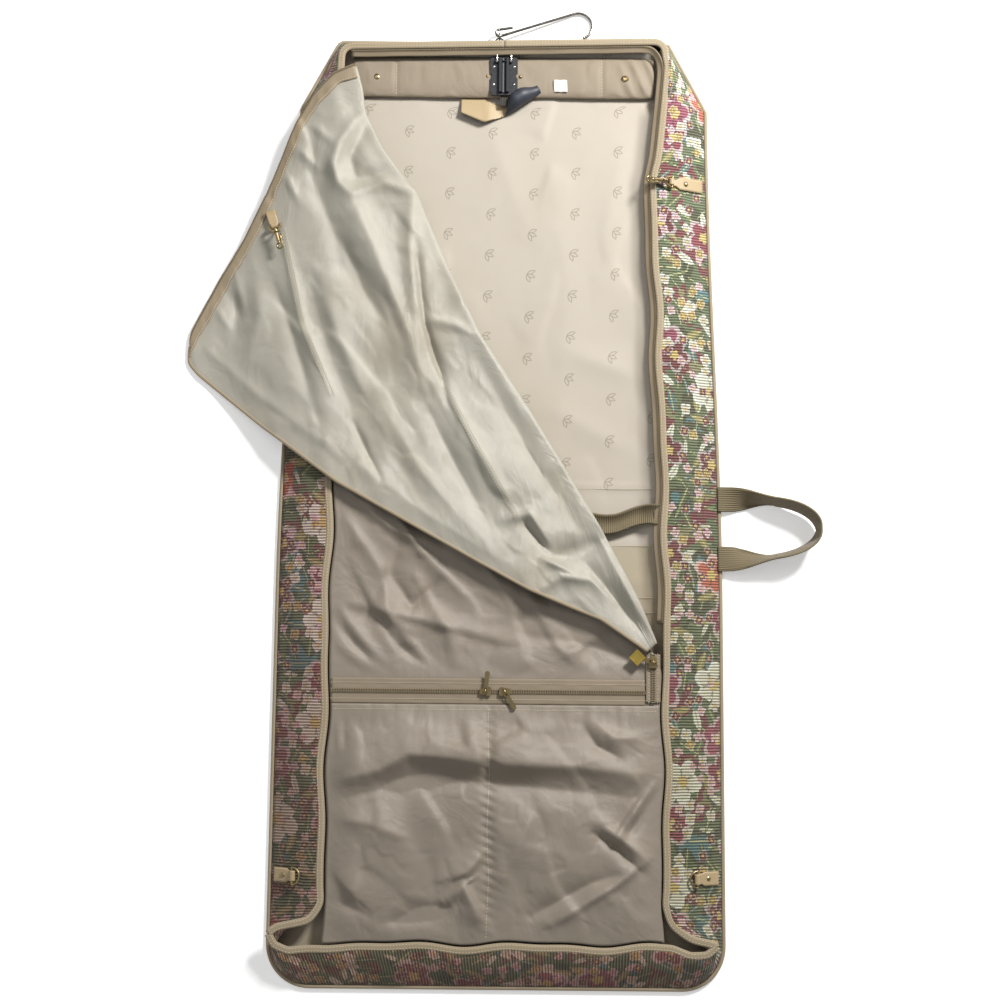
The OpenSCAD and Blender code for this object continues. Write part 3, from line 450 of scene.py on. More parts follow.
class Maker:
    """Turns grids, tubes and stitches into mesh objects."""

    @staticmethod
    def mesh(name: str, points: Array, faces: list, uv: Array | None, mats: Sequence, index: Array | None,
             merge: bool = False) -> Piece:
        """Builds a smooth mesh object.

        Args:
            name: Name of the object.
            points: Points in millimetres.
            faces: Lists of point numbers.
            uv: Flat coordinates of each point in millimetres, or None.
            mats: Materials.
            index: Material number of each face, or None.
            merge: Joins points that lie on each other.
        Returns:
            The object, linked to the scene.
        """
        data = bpy.data.meshes.new(name)
        data.from_pydata((np.asarray(points) * MM).tolist(), [], faces)
        if uv is not None:
            layer = data.uv_layers.new(name="Flat")
            at = np.empty(len(data.loops), dtype=np.int32)
            data.loops.foreach_get("vertex_index", at)
            layer.data.foreach_set("uv", (np.asarray(uv)[at] * MM).astype(np.float32).ravel())
        for mat in mats:
            data.materials.append(mat)
        if index is not None:
            data.polygons.foreach_set("material_index", np.asarray(index, dtype=np.int32))
        if merge:
            bm = bmesh.new()
            bm.from_mesh(data)
            bmesh.ops.remove_doubles(bm, verts=bm.verts, dist=0.02 * MM)
            bm.to_mesh(data)
            bm.free()
        data.polygons.foreach_set("use_smooth", np.ones(len(data.polygons), dtype=bool))
        data.update()
        obj = bpy.data.objects.new(name, data)
        bpy.context.scene.collection.objects.link(obj)
        return obj

    @staticmethod
    def cloth(name: str, shells: Sequence[Shell], mats: Sequence, merge: bool = False) -> Piece:
        """Builds a closed sheet from shells: material 0 on the outer and 1 on the inner face.

        Args:
            name: Name of the object.
            shells: One or more grids.
            mats: One or two materials.
            merge: Joins grids that share points.
        Returns:
            The object.
        """
        points, faces, uvs, index = [], [], [], []
        base = 0
        inner_mat = len(mats) - 1
        for sh in shells:
            r, c = sh.outer.shape[:2]
            k = np.arange(r * c).reshape(r, c) + base
            low = k + r * c
            quad = np.stack([k[:-1, :-1], k[1:, :-1], k[1:, 1:], k[:-1, 1:]], axis=2).reshape(-1, 4)
            under = np.stack([low[:-1, :-1], low[:-1, 1:], low[1:, 1:], low[1:, :-1]], axis=2).reshape(-1, 4)
            start = sh.open_last_row_from
            edges = [np.stack([k[1:, 0], k[:-1, 0], low[:-1, 0], low[1:, 0]], axis=1),
                     np.stack([k[:-1, -1], k[1:, -1], low[1:, -1], low[:-1, -1]], axis=1),
                     np.stack([k[-1, start:-1], low[-1, start:-1], low[-1, start + 1:], k[-1, start + 1:]], axis=1)]
            if not sh.open_first_row:
                edges.append(np.stack([k[0, :-1], k[0, 1:], low[0, 1:], low[0, :-1]], axis=1))
            rim = np.concatenate(edges)
            faces += quad.tolist() + under.tolist() + rim.tolist()
            index += [0] * len(quad) + [inner_mat] * len(under) + [0] * len(rim)
            points += [sh.outer.reshape(-1, 3), sh.inner.reshape(-1, 3)]
            uvs += [sh.uv.reshape(-1, 2), sh.uv.reshape(-1, 2)]
            base += 2 * r * c
        return Maker.mesh(name, np.concatenate(points), faces, np.concatenate(uvs), mats, np.array(index), merge)

    @staticmethod
    def frames(path: Array, closed: bool = False) -> tuple[Array, Array, Array]:
        """Directions along a path that lies mostly flat.

        Args:
            path: Points of shape (n, 3).
            closed: Whether the path is a loop.
        Returns:
            Unit vectors along, to the side and up.
        """
        d = (np.roll(path, -1, axis=0) - np.roll(path, 1, axis=0)) if closed else np.gradient(path, axis=0)
        d = d / np.maximum(np.linalg.norm(d, axis=1, keepdims=True), 1e-9)
        side = np.cross(d, [0, 0, 1.0])
        side /= np.maximum(np.linalg.norm(side, axis=1, keepdims=True), 1e-9)
        return d, side, np.cross(side, d)

    @staticmethod
    def tube(name: str, path: Array, rx: float, rz: float, mats: Sequence, sides: int = 12, closed: bool = False,
             power: float = 1.0) -> Piece:
        """Sweeps an oval along a path.

        Args:
            name: Name of the object.
            path: Points of shape (n, 3).
            rx: Half width.
            rz: Half height.
            mats: Materials.
            sides: Points of the section.
            closed: Whether the path is a loop.
            power: Below 1 the section is boxier.
        Returns:
            The object.
        """
        _, side, up = Maker.frames(path, closed)
        a = np.arange(sides) * TAU / sides
        cx = np.sign(np.cos(a)) * np.abs(np.cos(a)) ** power * rx
        cz = np.sign(np.sin(a)) * np.abs(np.sin(a)) ** power * rz
        ring = path[:, None] + side[:, None] * cx[None, :, None] + up[:, None] * cz[None, :, None]
        n = len(path)
        uv = np.stack([np.repeat(run_along(path), sides), np.tile(a / TAU * (rx + rz) * 3, n)], axis=1)
        return Maker.mesh(name, ring.reshape(-1, 3), ring_quads(n, sides, closed), uv, mats, None)

    @staticmethod
    def beads(name: str, at: Array, along: Array, up: Array, size: tuple[float, float, float], mats: Sequence
              ) -> Piece:
        """Many small rounded bars, such as stitches or zip teeth.

        Args:
            name: Name of the object.
            at: Middles of shape (n, 3).
            along: Long directions.
            up: Rough up directions.
            size: Half length, half width and half height.
            mats: Materials.
        Returns:
            The object.
        """
        along = along / np.linalg.norm(along, axis=1, keepdims=True)
        side = np.cross(along, up)
        side /= np.maximum(np.linalg.norm(side, axis=1, keepdims=True), 1e-9)
        top = np.cross(side, along)
        unit = [(-1, 0, 0)] + [(x, math.cos(q), math.sin(q)) for x in (-0.6, 0.6)
                               for q in np.arange(6) * TAU / 6] + [(1, 0, 0)]
        u = np.array(unit) * np.array(size)
        pts = (at[:, None] + along[:, None] * u[None, :, :1] + side[:, None] * u[None, :, 1:2]
               + top[:, None] * u[None, :, 2:])
        base = [[0, 1 + (k + 1) % 6, 1 + k] for k in range(6)]
        base += [[1 + k, 1 + (k + 1) % 6, 7 + (k + 1) % 6, 7 + k] for k in range(6)]
        base += [[13, 7 + k, 7 + (k + 1) % 6] for k in range(6)]
        faces = [[q + 14 * i for q in f] for i in range(len(at)) for f in base]
        return Maker.mesh(name, pts.reshape(-1, 3), faces, None, mats, None)

    @staticmethod
    def evenly(path: Array, pitch: float) -> tuple[Array, Array, Array, Array]:
        """Returns: Points at an even pitch along a path, with unit vectors along, to the side and up."""
        p = polyline(path, max(4, int(run_along(path)[-1] / pitch)))
        return p, *Maker.frames(p)

    @staticmethod
    def stitches(name: str, path: Array, lift: float, mats: Sequence, pitch: float = 4.2, shift: float = 0.0
                 ) -> Piece:
        """A row of stitches along a path.

        Args:
            name: Name of the object.
            path: Points of shape (n, 3).
            lift: Height above the path.
            mats: Materials.
            pitch: Distance from stitch to stitch.
            shift: Offset to the path's side.
        Returns:
            The object.
        """
        p, d, side, up = Maker.evenly(path, pitch)
        return Maker.beads(name, p + side * shift + up * lift, d, up, (0.38 * pitch, THREAD_R, THREAD_R), mats)

    @staticmethod
    def teeth(name: str, path: Array, lift: float, mats: Sequence, pitch: float = 1.9, reach: float = 1.6,
              shift: float = 0.0, slant: float = 0.25) -> Piece:
        """One row of zip coil loops across a path.

        Args:
            name: Name of the object.
            path: Points of shape (n, 3).
            lift: Height above the path.
            mats: Materials.
            pitch: Distance from loop to loop.
            reach: Half length of a loop.
            shift: Offset to the path's side.
            slant: Lean of the loops along the path.
        Returns:
            The object.
        """
        p, d, side, up = Maker.evenly(path, pitch)
        return Maker.beads(name, p + side * shift + up * lift, side + slant * d, up, (reach, 0.36 * pitch, 0.55), mats)


def dress(obj: Piece, slot: str, *nodes: str) -> Piece:
    """Lets a piece ride on the bag and stand for CAD nodes.

    Args:
        obj: The piece.
        slot: Name of a material slot; not used.
        nodes: CAD nodes that it replaces.
    Returns:
        The piece.
    """
    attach(obj, BAG)
    if nodes:
        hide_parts(*nodes)
    LOG.info("built %s", obj.name)
    return obj


def linear(rgb: tuple[int, int, int]) -> tuple[float, float, float, float]:
    """Turns a screen colour into a scene colour.

    Args:
        rgb: Red, green and blue from 0 to 255.
    Returns:
        Linear red, green, blue and alpha.
    """
    c = [v / 255 for v in rgb]
    c = [v / 12.92 if v <= 0.04045 else ((v + 0.055) / 1.055) ** 2.4 for v in c]
    return (c[0], c[1], c[2], 1.0)


class Graph:
    """Short way to write shader nodes."""

    def __init__(self, tree: Tree) -> None:
        """Keeps the node tree to add to."""
        self.tree = tree

    def add(self, kind: str, inputs: dict | None = None, **props: object) -> Node:
        """Adds one node.

        Args:
            kind: Node type without the ShaderNode prefix.
            inputs: Socket name or number to a value or another socket.
            props: Properties of the node.
        Returns:
            The node.
        """
        node = self.tree.nodes.new("ShaderNode" + kind)
        for key, value in props.items():
            setattr(node, key, value)
        return self.fill(node, inputs or {})

    def fill(self, node: Node, inputs: dict) -> Node:
        """Sets or links a node's inputs.

        Args:
            node: The node.
            inputs: Socket name or number to a value or another socket.
        Returns:
            The node.
        """
        for key, value in inputs.items():
            if isinstance(value, Socket):
                self.tree.links.new(value, node.inputs[key])
            else:
                node.inputs[key].default_value = value
        return node

    def math(self, op: str, *args: Socket | float) -> Socket:
        """Returns: Number from a math node, given its operation and its values or sockets."""
        return self.add("Math", dict(enumerate(args)), operation=op).outputs[0]

    def times(self, a: Socket | float, b: Socket | float) -> Socket:
        """Returns: Product of two numbers."""
        return self.math("MULTIPLY", a, b)

    def leaf(self, a: Socket, b: Socket, wide: float, long: float) -> Socket:
        """Returns: Place in a leaf that lies along a, from 0 at its middle to 1 at its edge."""
        across = self.math("DIVIDE", self.math("ABSOLUTE", b), wide)
        return self.math("ADD", across, self.math("POWER", self.math("DIVIDE", a, long), 2.0))

    def vector(self, op: str, *args: object) -> Node:
        """Returns: A vector math node, given its operation and its vectors or sockets."""
        return self.add("VectorMath", dict(enumerate(args)), operation=op)

    def blend(self, fac: Socket | float, a: object, b: object, mode: str = "MIX") -> Socket:
        """Returns: Mix of two colours, with fac as the share of b."""
        return self.add("Mix", {0: fac, 6: a, 7: b}, data_type="RGBA", blend_type=mode).outputs[2]

    def step(self, value: Socket, low: float, high: float) -> Socket:
        """Returns: Smooth step of a number, 0 at low and 1 at high."""
        return self.add("MapRange", {0: value, 1: low, 2: high, 3: 0.0, 4: 1.0},
                        interpolation_type="SMOOTHSTEP").outputs[0]

    def ramp(self, fac: Socket, stops: Sequence[tuple[float, tuple[int, int, int]]], mode: str = "LINEAR") -> Socket:
        """Colour from a number.

        Args:
            fac: Number from 0 to 1.
            stops: Positions and screen colours.
            mode: Interpolation.
        Returns:
            The colour.
        """
        node = self.add("ValToRGB", {0: fac})
        node.color_ramp.interpolation = mode
        cells = node.color_ramp.elements
        for i, (pos, rgb) in enumerate(stops):
            cell = cells[i] if i < 2 else cells.new(pos)
            cell.position = pos
            cell.color = linear(rgb)
        return node.outputs[0]

    def noise(self, vec: Socket, scale: float, detail: float = 3.0) -> Socket:
        """Returns: Noise from 0 to 1."""
        return self.add("TexNoise", {"Vector": vec, "Scale": scale, "Detail": detail}).outputs[0]

    def group(self, tree: Tree, inputs: dict) -> Node:
        """Adds a group node.

        Args:
            tree: The shared group.
            inputs: Values or sockets by name.
        Returns:
            The node.
        """
        node = self.tree.nodes.new("ShaderNodeGroup")
        node.node_tree = tree
        return self.fill(node, inputs)


class Effects:
    """Shared effects as node groups: weave, rib, floral, sprig, grain and wear."""

    def __init__(self) -> None:
        """Builds every group once."""
        self.weave = self._weave()
        self.rib = self._rib()
        self.floral = self._floral()
        self.sprig = self._sprig()
        self.grain = self._grain()
        self.wear = self._wear()

    @staticmethod
    def _start(name: str, outs: Sequence[str], **numbers: float) -> tuple[Graph, dict, Node]:
        """Makes an empty group with a Vector input.

        Args:
            name: Name of the group.
            outs: Names of its outputs, of which Color is a colour and the others are numbers.
            numbers: Names and defaults of its number inputs.
        Returns:
            The graph, its input sockets by name and its output node.
        """
        tree = bpy.data.node_groups.new(name, "ShaderNodeTree")
        tree.interface.new_socket("Vector", in_out="INPUT", socket_type="NodeSocketVector")
        for key, default in numbers.items():
            tree.interface.new_socket(key, in_out="INPUT", socket_type="NodeSocketFloat").default_value = default
        for key in outs:
            kind = "NodeSocketColor" if key == "Color" else "NodeSocketFloat"
            tree.interface.new_socket(key, in_out="OUTPUT", socket_type=kind)
        start = tree.nodes.new("NodeGroupInput")
        end = tree.nodes.new("NodeGroupOutput")
        return Graph(tree), {s.name: s for s in start.outputs}, end

    @staticmethod
    def _close(g: Graph, end: Node, **outs: Socket) -> Tree:
        """Links a group's outputs by name. Returns: The finished group."""
        g.fill(end, outs)
        return g.tree

    def _weave(self) -> Tree:
        """Returns: Plain weave of Pitch metres, as height and tone."""
        g, i, end = self._start("plain_weave", ["Height", "Tone"], Pitch=0.0008)
        xyz = g.add("SeparateXYZ", {0: i["Vector"]})
        k = g.math("DIVIDE", math.pi, i["Pitch"])
        sx = g.math("SINE", g.times(xyz.outputs[0], k))
        sy = g.math("SINE", g.times(xyz.outputs[1], k))
        over = g.math("GREATER_THAN", g.times(sx, sy), 0.0)
        height = g.add("Mix", {0: over, 2: g.math("ABSOLUTE", sx), 3: g.math("ABSOLUTE", sy)}).outputs[0]
        tone = g.noise(i["Vector"], 60.0, 4.0)
        return self._close(g, end, Height=height, Tone=tone)

    def _rib(self) -> Tree:
        """Returns: Ribs across the first coordinate, as height and thread tone."""
        g, i, end = self._start("thread_rib", ["Height", "Tone"], Pitch=0.003)
        wob = g.times(g.noise(i["Vector"], 45.0, 2.0), 0.0016)
        xyz = g.add("SeparateXYZ", {0: i["Vector"]})
        x = g.math("ADD", xyz.outputs[0], wob)
        wave = g.math("SINE", g.times(x, g.math("DIVIDE", TAU, i["Pitch"])))
        height = g.math("MULTIPLY_ADD", wave, 0.5, 0.5)
        fine = g.add("Mapping", {0: i["Vector"], 3: (900.0, 260.0, 1.0)}).outputs[0]
        tone = g.noise(fine, 1.0, 2.0)
        return self._close(g, end, Height=height, Tone=tone)

    def _floral(self) -> Tree:
        """Returns: Woven flowers and leaves as simple shapes, as a colour."""
        g, i, end = self._start("woven_floral", ["Color"])
        vec = g.vector("SNAP", i["Vector"], (0.0016, 0.0011, 1.0)).outputs[0]

        def cell(scale: float, offset: float) -> tuple[Socket, Socket, Node]:
            """Local place in a random cell.

            Args:
                scale: Cells in a metre.
                offset: Shift of the layer.
            Returns:
                Scaled radius, angle and random numbers.
            """
            moved = g.vector("ADD", vec, (offset, 0.7 * offset, 0.0)).outputs[0]
            vor = g.add("TexVoronoi", {"Vector": moved, "Scale": scale, "Randomness": 0.9}, voronoi_dimensions="2D")
            local = g.vector("SUBTRACT", moved, vor.outputs["Position"]).outputs[0]
            xyz = g.add("SeparateXYZ", {0: local})
            radius = g.times(g.vector("LENGTH", local).outputs["Value"], scale)
            angle = g.math("ARCTAN2", xyz.outputs[1], xyz.outputs[0])
            return radius, angle, g.add("SeparateColor", {0: vor.outputs["Color"]})

        ground = g.ramp(g.noise(vec, 20.0, 3.0), [(0.28, (70, 112, 112)), (0.38, (52, 58, 40)), (0.45, (84, 96, 64)),
                                                   (0.54, (112, 32, 52)), (0.60, (128, 118, 78)), (0.66, (60, 78, 58)),
                                                   (0.74, (96, 132, 124))], "CONSTANT")
        color = ground
        for scale, offset, wide, tones in (
                (46.0, 0.31, 0.13, [(0.0, (58, 78, 50)), (0.3, (98, 114, 70)), (0.6, (52, 92, 90)),
                                    (0.8, (214, 206, 178))]),
                (33.0, 0.77, 0.15, [(0.0, (74, 92, 56)), (0.4, (150, 132, 74)), (0.7, (66, 108, 104)),
                                    (0.85, (220, 212, 186))])):
            radius, angle, rnd = cell(scale, offset)
            turned = g.math("ADD", angle, g.times(rnd.outputs[0], TAU))
            a = g.times(radius, g.math("COSINE", turned))
            b = g.times(radius, g.math("SINE", turned))
            shape = g.leaf(a, b, wide, 0.5)
            color = g.blend(g.math("LESS_THAN", shape, 1.0), color, g.ramp(rnd.outputs[1], tones, "CONSTANT"))
            color = g.blend(g.times(g.math("LESS_THAN", g.math("ABSOLUTE", b), 0.025),
                                   g.math("LESS_THAN", shape, 1.0)), color, linear((178, 166, 116)))
        for scale, offset, petals, tones in (
                (17.0, 0.13, 2.5, [(0.0, (104, 24, 46)), (0.36, (132, 34, 60)), (0.58, (186, 82, 62)),
                                   (0.74, (214, 202, 172)), (0.84, (150, 58, 84))]),
                (62.0, 0.53, 2.0, [(0.0, (212, 160, 164)), (0.3, (110, 28, 50)), (0.62, (174, 138, 72)),
                                   (0.8, (206, 190, 164))])):
            radius, angle, rnd = cell(scale, offset)
            turned = g.math("MULTIPLY_ADD", angle, petals, g.times(rnd.outputs[2], 6.0))
            lobe = g.math("ABSOLUTE", g.math("COSINE", turned))
            edge = g.math("MULTIPLY_ADD", lobe, 0.17, g.math("MULTIPLY_ADD", rnd.outputs[0], 0.12, 0.20))
            inside = g.math("LESS_THAN", radius, edge)
            keep = g.math("GREATER_THAN", rnd.outputs[1], 0.42)
            share = g.math("DIVIDE", radius, edge)
            petal = g.ramp(rnd.outputs[0], tones, "CONSTANT")
            shade = g.blend(g.math("LESS_THAN", lobe, 0.34), petal, g.blend(0.55, petal, linear((60, 24, 34))))
            light = g.blend(g.math("GREATER_THAN", share, 0.8), shade, g.blend(0.45, petal, linear((238, 228, 208))))
            heart = g.blend(g.math("LESS_THAN", share, 0.3), light, linear((204, 170, 96)))
            color = g.blend(g.times(inside, keep), color, heart)
        return self._close(g, end, Color=color)

    def _sprig(self) -> Tree:
        """Returns: Small three-leaf sprigs in a half-drop layout, as a mask."""
        g, i, end = self._start("sprig_print", ["Mask"], Step=0.05)
        xyz = g.add("SeparateXYZ", {0: i["Vector"]})
        x = g.math("DIVIDE", xyz.outputs[0], i["Step"])
        row = g.math("FLOOR", x)
        y = g.math("ADD", g.math("DIVIDE", xyz.outputs[1], i["Step"]), g.times(row, 0.5))
        lx = g.math("SUBTRACT", g.math("FRACT", x), 0.5)
        ly = g.math("SUBTRACT", g.math("FRACT", y), 0.5)
        mask: Socket | None = None
        for turn in (-0.75, 0.0, 0.75):
            c, s = math.cos(turn + 0.4), math.sin(turn + 0.4)
            a = g.math("ADD", g.times(lx, c), g.times(ly, s))
            b = g.math("SUBTRACT", g.times(ly, c), g.times(lx, s))
            a = g.math("SUBTRACT", a, 0.12)
            shape = g.leaf(a, b, 0.045, 0.11)
            ring = g.math("LESS_THAN", g.math("ABSOLUTE", g.math("SUBTRACT", shape, 0.8)), 0.28)
            mask = ring if mask is None else g.math("MAXIMUM", mask, ring)
        return self._close(g, end, Mask=mask)

    def _grain(self) -> Tree:
        """Returns: Fine pebbled grain, as height and tone."""
        g, i, end = self._start("fine_grain", ["Height", "Tone"], Scale=900.0)
        vor = g.add("TexVoronoi", {"Vector": i["Vector"], "Scale": i["Scale"]})
        return self._close(g, end, Height=vor.outputs["Distance"], Tone=g.noise(i["Vector"], 70.0, 5.0))

    def _wear(self) -> Tree:
        """Returns: Worn edges broken up by noise, as a mask."""
        g, i, end = self._start("edge_wear", ["Mask"], Amount=0.5)
        point = g.add("NewGeometry").outputs["Pointiness"]
        edge = g.step(point, 0.52, 0.60)
        speck = g.step(g.noise(i["Vector"], 300.0, 4.0), 0.45, 0.65)
        mask = g.times(g.times(edge, speck), i["Amount"])
        return self._close(g, end, Mask=mask)


FX = Effects()


@dataclass(frozen=True)
class Finish:
    """Base of all finishes: a screen colour and a roughness."""

    name: str
    rgb: tuple[int, int, int]
    rough: float = 0.8

    def start(self, flat: bool) -> tuple[Material, Graph, Node, Socket]:
        """Makes the material and its coordinates.

        Args:
            flat: True for the cloth's flat coordinates, False for the object's own.
        Returns:
            Material, graph, shader and coordinates.
        """
        mat = bpy.data.materials.new(self.name)
        mat.use_nodes = True
        g = Graph(mat.node_tree)
        bsdf = next(n for n in mat.node_tree.nodes if n.type == "BSDF_PRINCIPLED")
        bsdf.inputs["Roughness"].default_value = self.rough
        coord = g.add("TexCoord").outputs["UV" if flat else "Object"]
        return mat, g, bsdf, coord

    @staticmethod
    def bump(g: Graph, bsdf: Node, height: Socket, depth: float, strength: float) -> None:
        """Feeds a height from 0 to 1, with its depth in metres, into the shader's normal."""
        node = g.add("Bump", {"Height": height, "Distance": depth, "Strength": strength})
        g.fill(bsdf, {"Normal": node.outputs[0]})


@dataclass(frozen=True)
class ClothFinish(Finish):
    """Plain woven cloth with soft blotches (real soiling on most cloths, painted shade on the satin), painted shade in
    the rib grooves of ribbed cloth, and a sheen for satin.
    """

    pitch: float = 0.0009
    sheen: float = 0.15
    stain_and_shade: float = 0.35
    stain_and_shade_rgb: tuple[int, int, int] = (120, 104, 84)
    ribbed: float = 0.0
    sprig_rgb: tuple[int, int, int] | None = None
    print_end: float = -0.014
    ruck: float = 0.0

    def build(self) -> Material:
        """Returns: The material."""
        mat, g, bsdf, vec = self.start(True)
        weave = g.group(FX.weave, {"Vector": vec, "Pitch": self.pitch})
        broad = g.noise(vec, 5.0, 3.0)
        # Broad blotches: real soiling on most cloths, painted shade on the satin
        stain_and_shade_blotches = g.times(g.step(broad, 0.45, 0.75), self.stain_and_shade)
        color = g.blend(stain_and_shade_blotches, linear(self.rgb), linear(self.stain_and_shade_rgb))
        color = g.blend(g.times(weave.outputs["Tone"], 0.22), color, linear(self.stain_and_shade_rgb))
        height = weave.outputs["Height"]
        if self.ribbed:
            rib = g.group(FX.rib, {"Vector": vec, "Pitch": self.ribbed})
            height = rib.outputs["Height"]
            # Painted shade in the rib grooves: the colour darkens where the rib is low
            color = g.blend(g.times(g.math("SUBTRACT", 1.0, height), 0.45), color, linear((92, 82, 60)))
        if self.sprig_rgb:
            mask = g.group(FX.sprig, {"Vector": vec, "Step": 0.052}).outputs["Mask"]
            down = g.add("SeparateXYZ", {0: vec}).outputs[1]
            mask = g.times(mask, g.step(down, self.print_end + 0.002, self.print_end))
            color = g.blend(g.times(mask, 0.5), color, linear(self.sprig_rgb))
            plain = g.step(down, self.print_end + 0.066, self.print_end + 0.07)
            color = g.blend(plain, color, (0.88, 0.84, 0.74, 1), "MULTIPLY")
        g.fill(bsdf, {"Base Color": color, "Sheen Weight": self.sheen, "Sheen Roughness": 0.4})
        if self.ruck:
            crumple = g.add("TexNoise", {"Vector": vec, "Scale": 16.0, "Detail": 3.0, "Distortion": 1.2}).outputs[0]
            first = g.add("Bump", {"Height": crumple, "Distance": self.ruck, "Strength": 0.6})
            node = g.add("Bump", {"Height": height, "Distance": 0.0002, "Strength": 0.4, "Normal": first.outputs[0]})
            g.fill(bsdf, {"Normal": node.outputs[0]})
        else:
            self.bump(g, bsdf, height, 0.0009 if self.ribbed else 0.0002, 0.6 if self.ribbed else 0.4)
        return mat


@dataclass(frozen=True)
class TapestryFinish(Finish):
    """Ribbed tapestry with woven flowers, painted shade in the rib grooves, a painted highlight on the rib crests and
    painted light and shade along each wall.
    """

    pitch: float = 0.0034
    # tones: start and end multipliers of the painted light and shade along a wall; run: where that painted gradient
    # starts and ends on the first flat coordinate, in metres
    tones: tuple[tuple[float, ...], tuple[float, ...]] = ((1, 1, 1, 1), (1, 1, 1, 1))
    run: tuple[float, float] = (0.0, 1.0)

    def build(self) -> Material:
        """Returns: The material."""
        mat, g, bsdf, vec = self.start(True)
        floral = g.group(FX.floral, {"Vector": vec}).outputs["Color"]
        # Painted light and shade: the woven colour is multiplied by a gradient from the first tone to the second along
        # the wall
        along = g.step(g.add("SeparateXYZ", {0: vec}).outputs[0], *self.run)
        floral = g.blend(1.0, floral, g.blend(along, *self.tones), "MULTIPLY")
        rib = g.group(FX.rib, {"Vector": vec, "Pitch": self.pitch})
        color = g.blend(g.times(rib.outputs["Tone"], 0.22), floral, linear((186, 172, 136)))
        # Painted shade in the rib grooves and a painted highlight on the rib crests, both following the rib's height
        dark = g.times(g.step(rib.outputs["Height"], 0.45, 0.0), 0.62)
        color = g.blend(dark, color, linear((48, 44, 36)))
        pale = g.times(g.step(rib.outputs["Height"], 0.78, 1.0), 0.12)
        color = g.blend(pale, color, linear((222, 214, 190)))
        g.fill(bsdf, {"Base Color": color, "Sheen Weight": 0.1})
        height = g.math("MULTIPLY_ADD", rib.outputs["Tone"], 0.35, rib.outputs["Height"])
        self.bump(g, bsdf, height, 0.0011, 0.8)
        return mat


@dataclass(frozen=True)
class GrainFinish(Finish):
    """Vinyl or moulded plastic with a fine grain and worn edges."""

    scale: float = 900.0
    wear_rgb: tuple[int, int, int] = (150, 140, 120)
    flat: bool = False

    def build(self) -> Material:
        """Returns: The material."""
        mat, g, bsdf, vec = self.start(self.flat)
        grain = g.group(FX.grain, {"Vector": vec, "Scale": self.scale})
        wear = g.group(FX.wear, {"Vector": vec, "Amount": 0.6}).outputs["Mask"]
        tone = g.blend(g.times(grain.outputs["Tone"], 0.3), linear(self.rgb), linear(self.wear_rgb))
        g.fill(bsdf, {"Base Color": g.blend(wear, tone, linear(self.wear_rgb))})
        self.bump(g, bsdf, grain.outputs["Height"], 0.0002, 0.35)
        return mat


@dataclass(frozen=True)
class MetalFinish(Finish):
    """Plated wire and pressings with a little tarnish."""

    tarnish: tuple[int, int, int] = (90, 76, 50)

    def build(self) -> Material:
        """Returns: The material."""
        mat, g, bsdf, vec = self.start(False)
        grain = g.group(FX.grain, {"Vector": vec, "Scale": 1500.0})
        spots = g.step(grain.outputs["Tone"], 0.45, 0.75)
        color = g.blend(g.times(spots, 0.5), linear(self.rgb), linear(self.tarnish))
        rough = g.math("MULTIPLY_ADD", spots, 0.2, self.rough)
        g.fill(bsdf, {"Base Color": color, "Roughness": rough, "Metallic": 1.0})
        self.bump(g, bsdf, grain.outputs["Tone"], 0.0001, 0.15)
        return mat


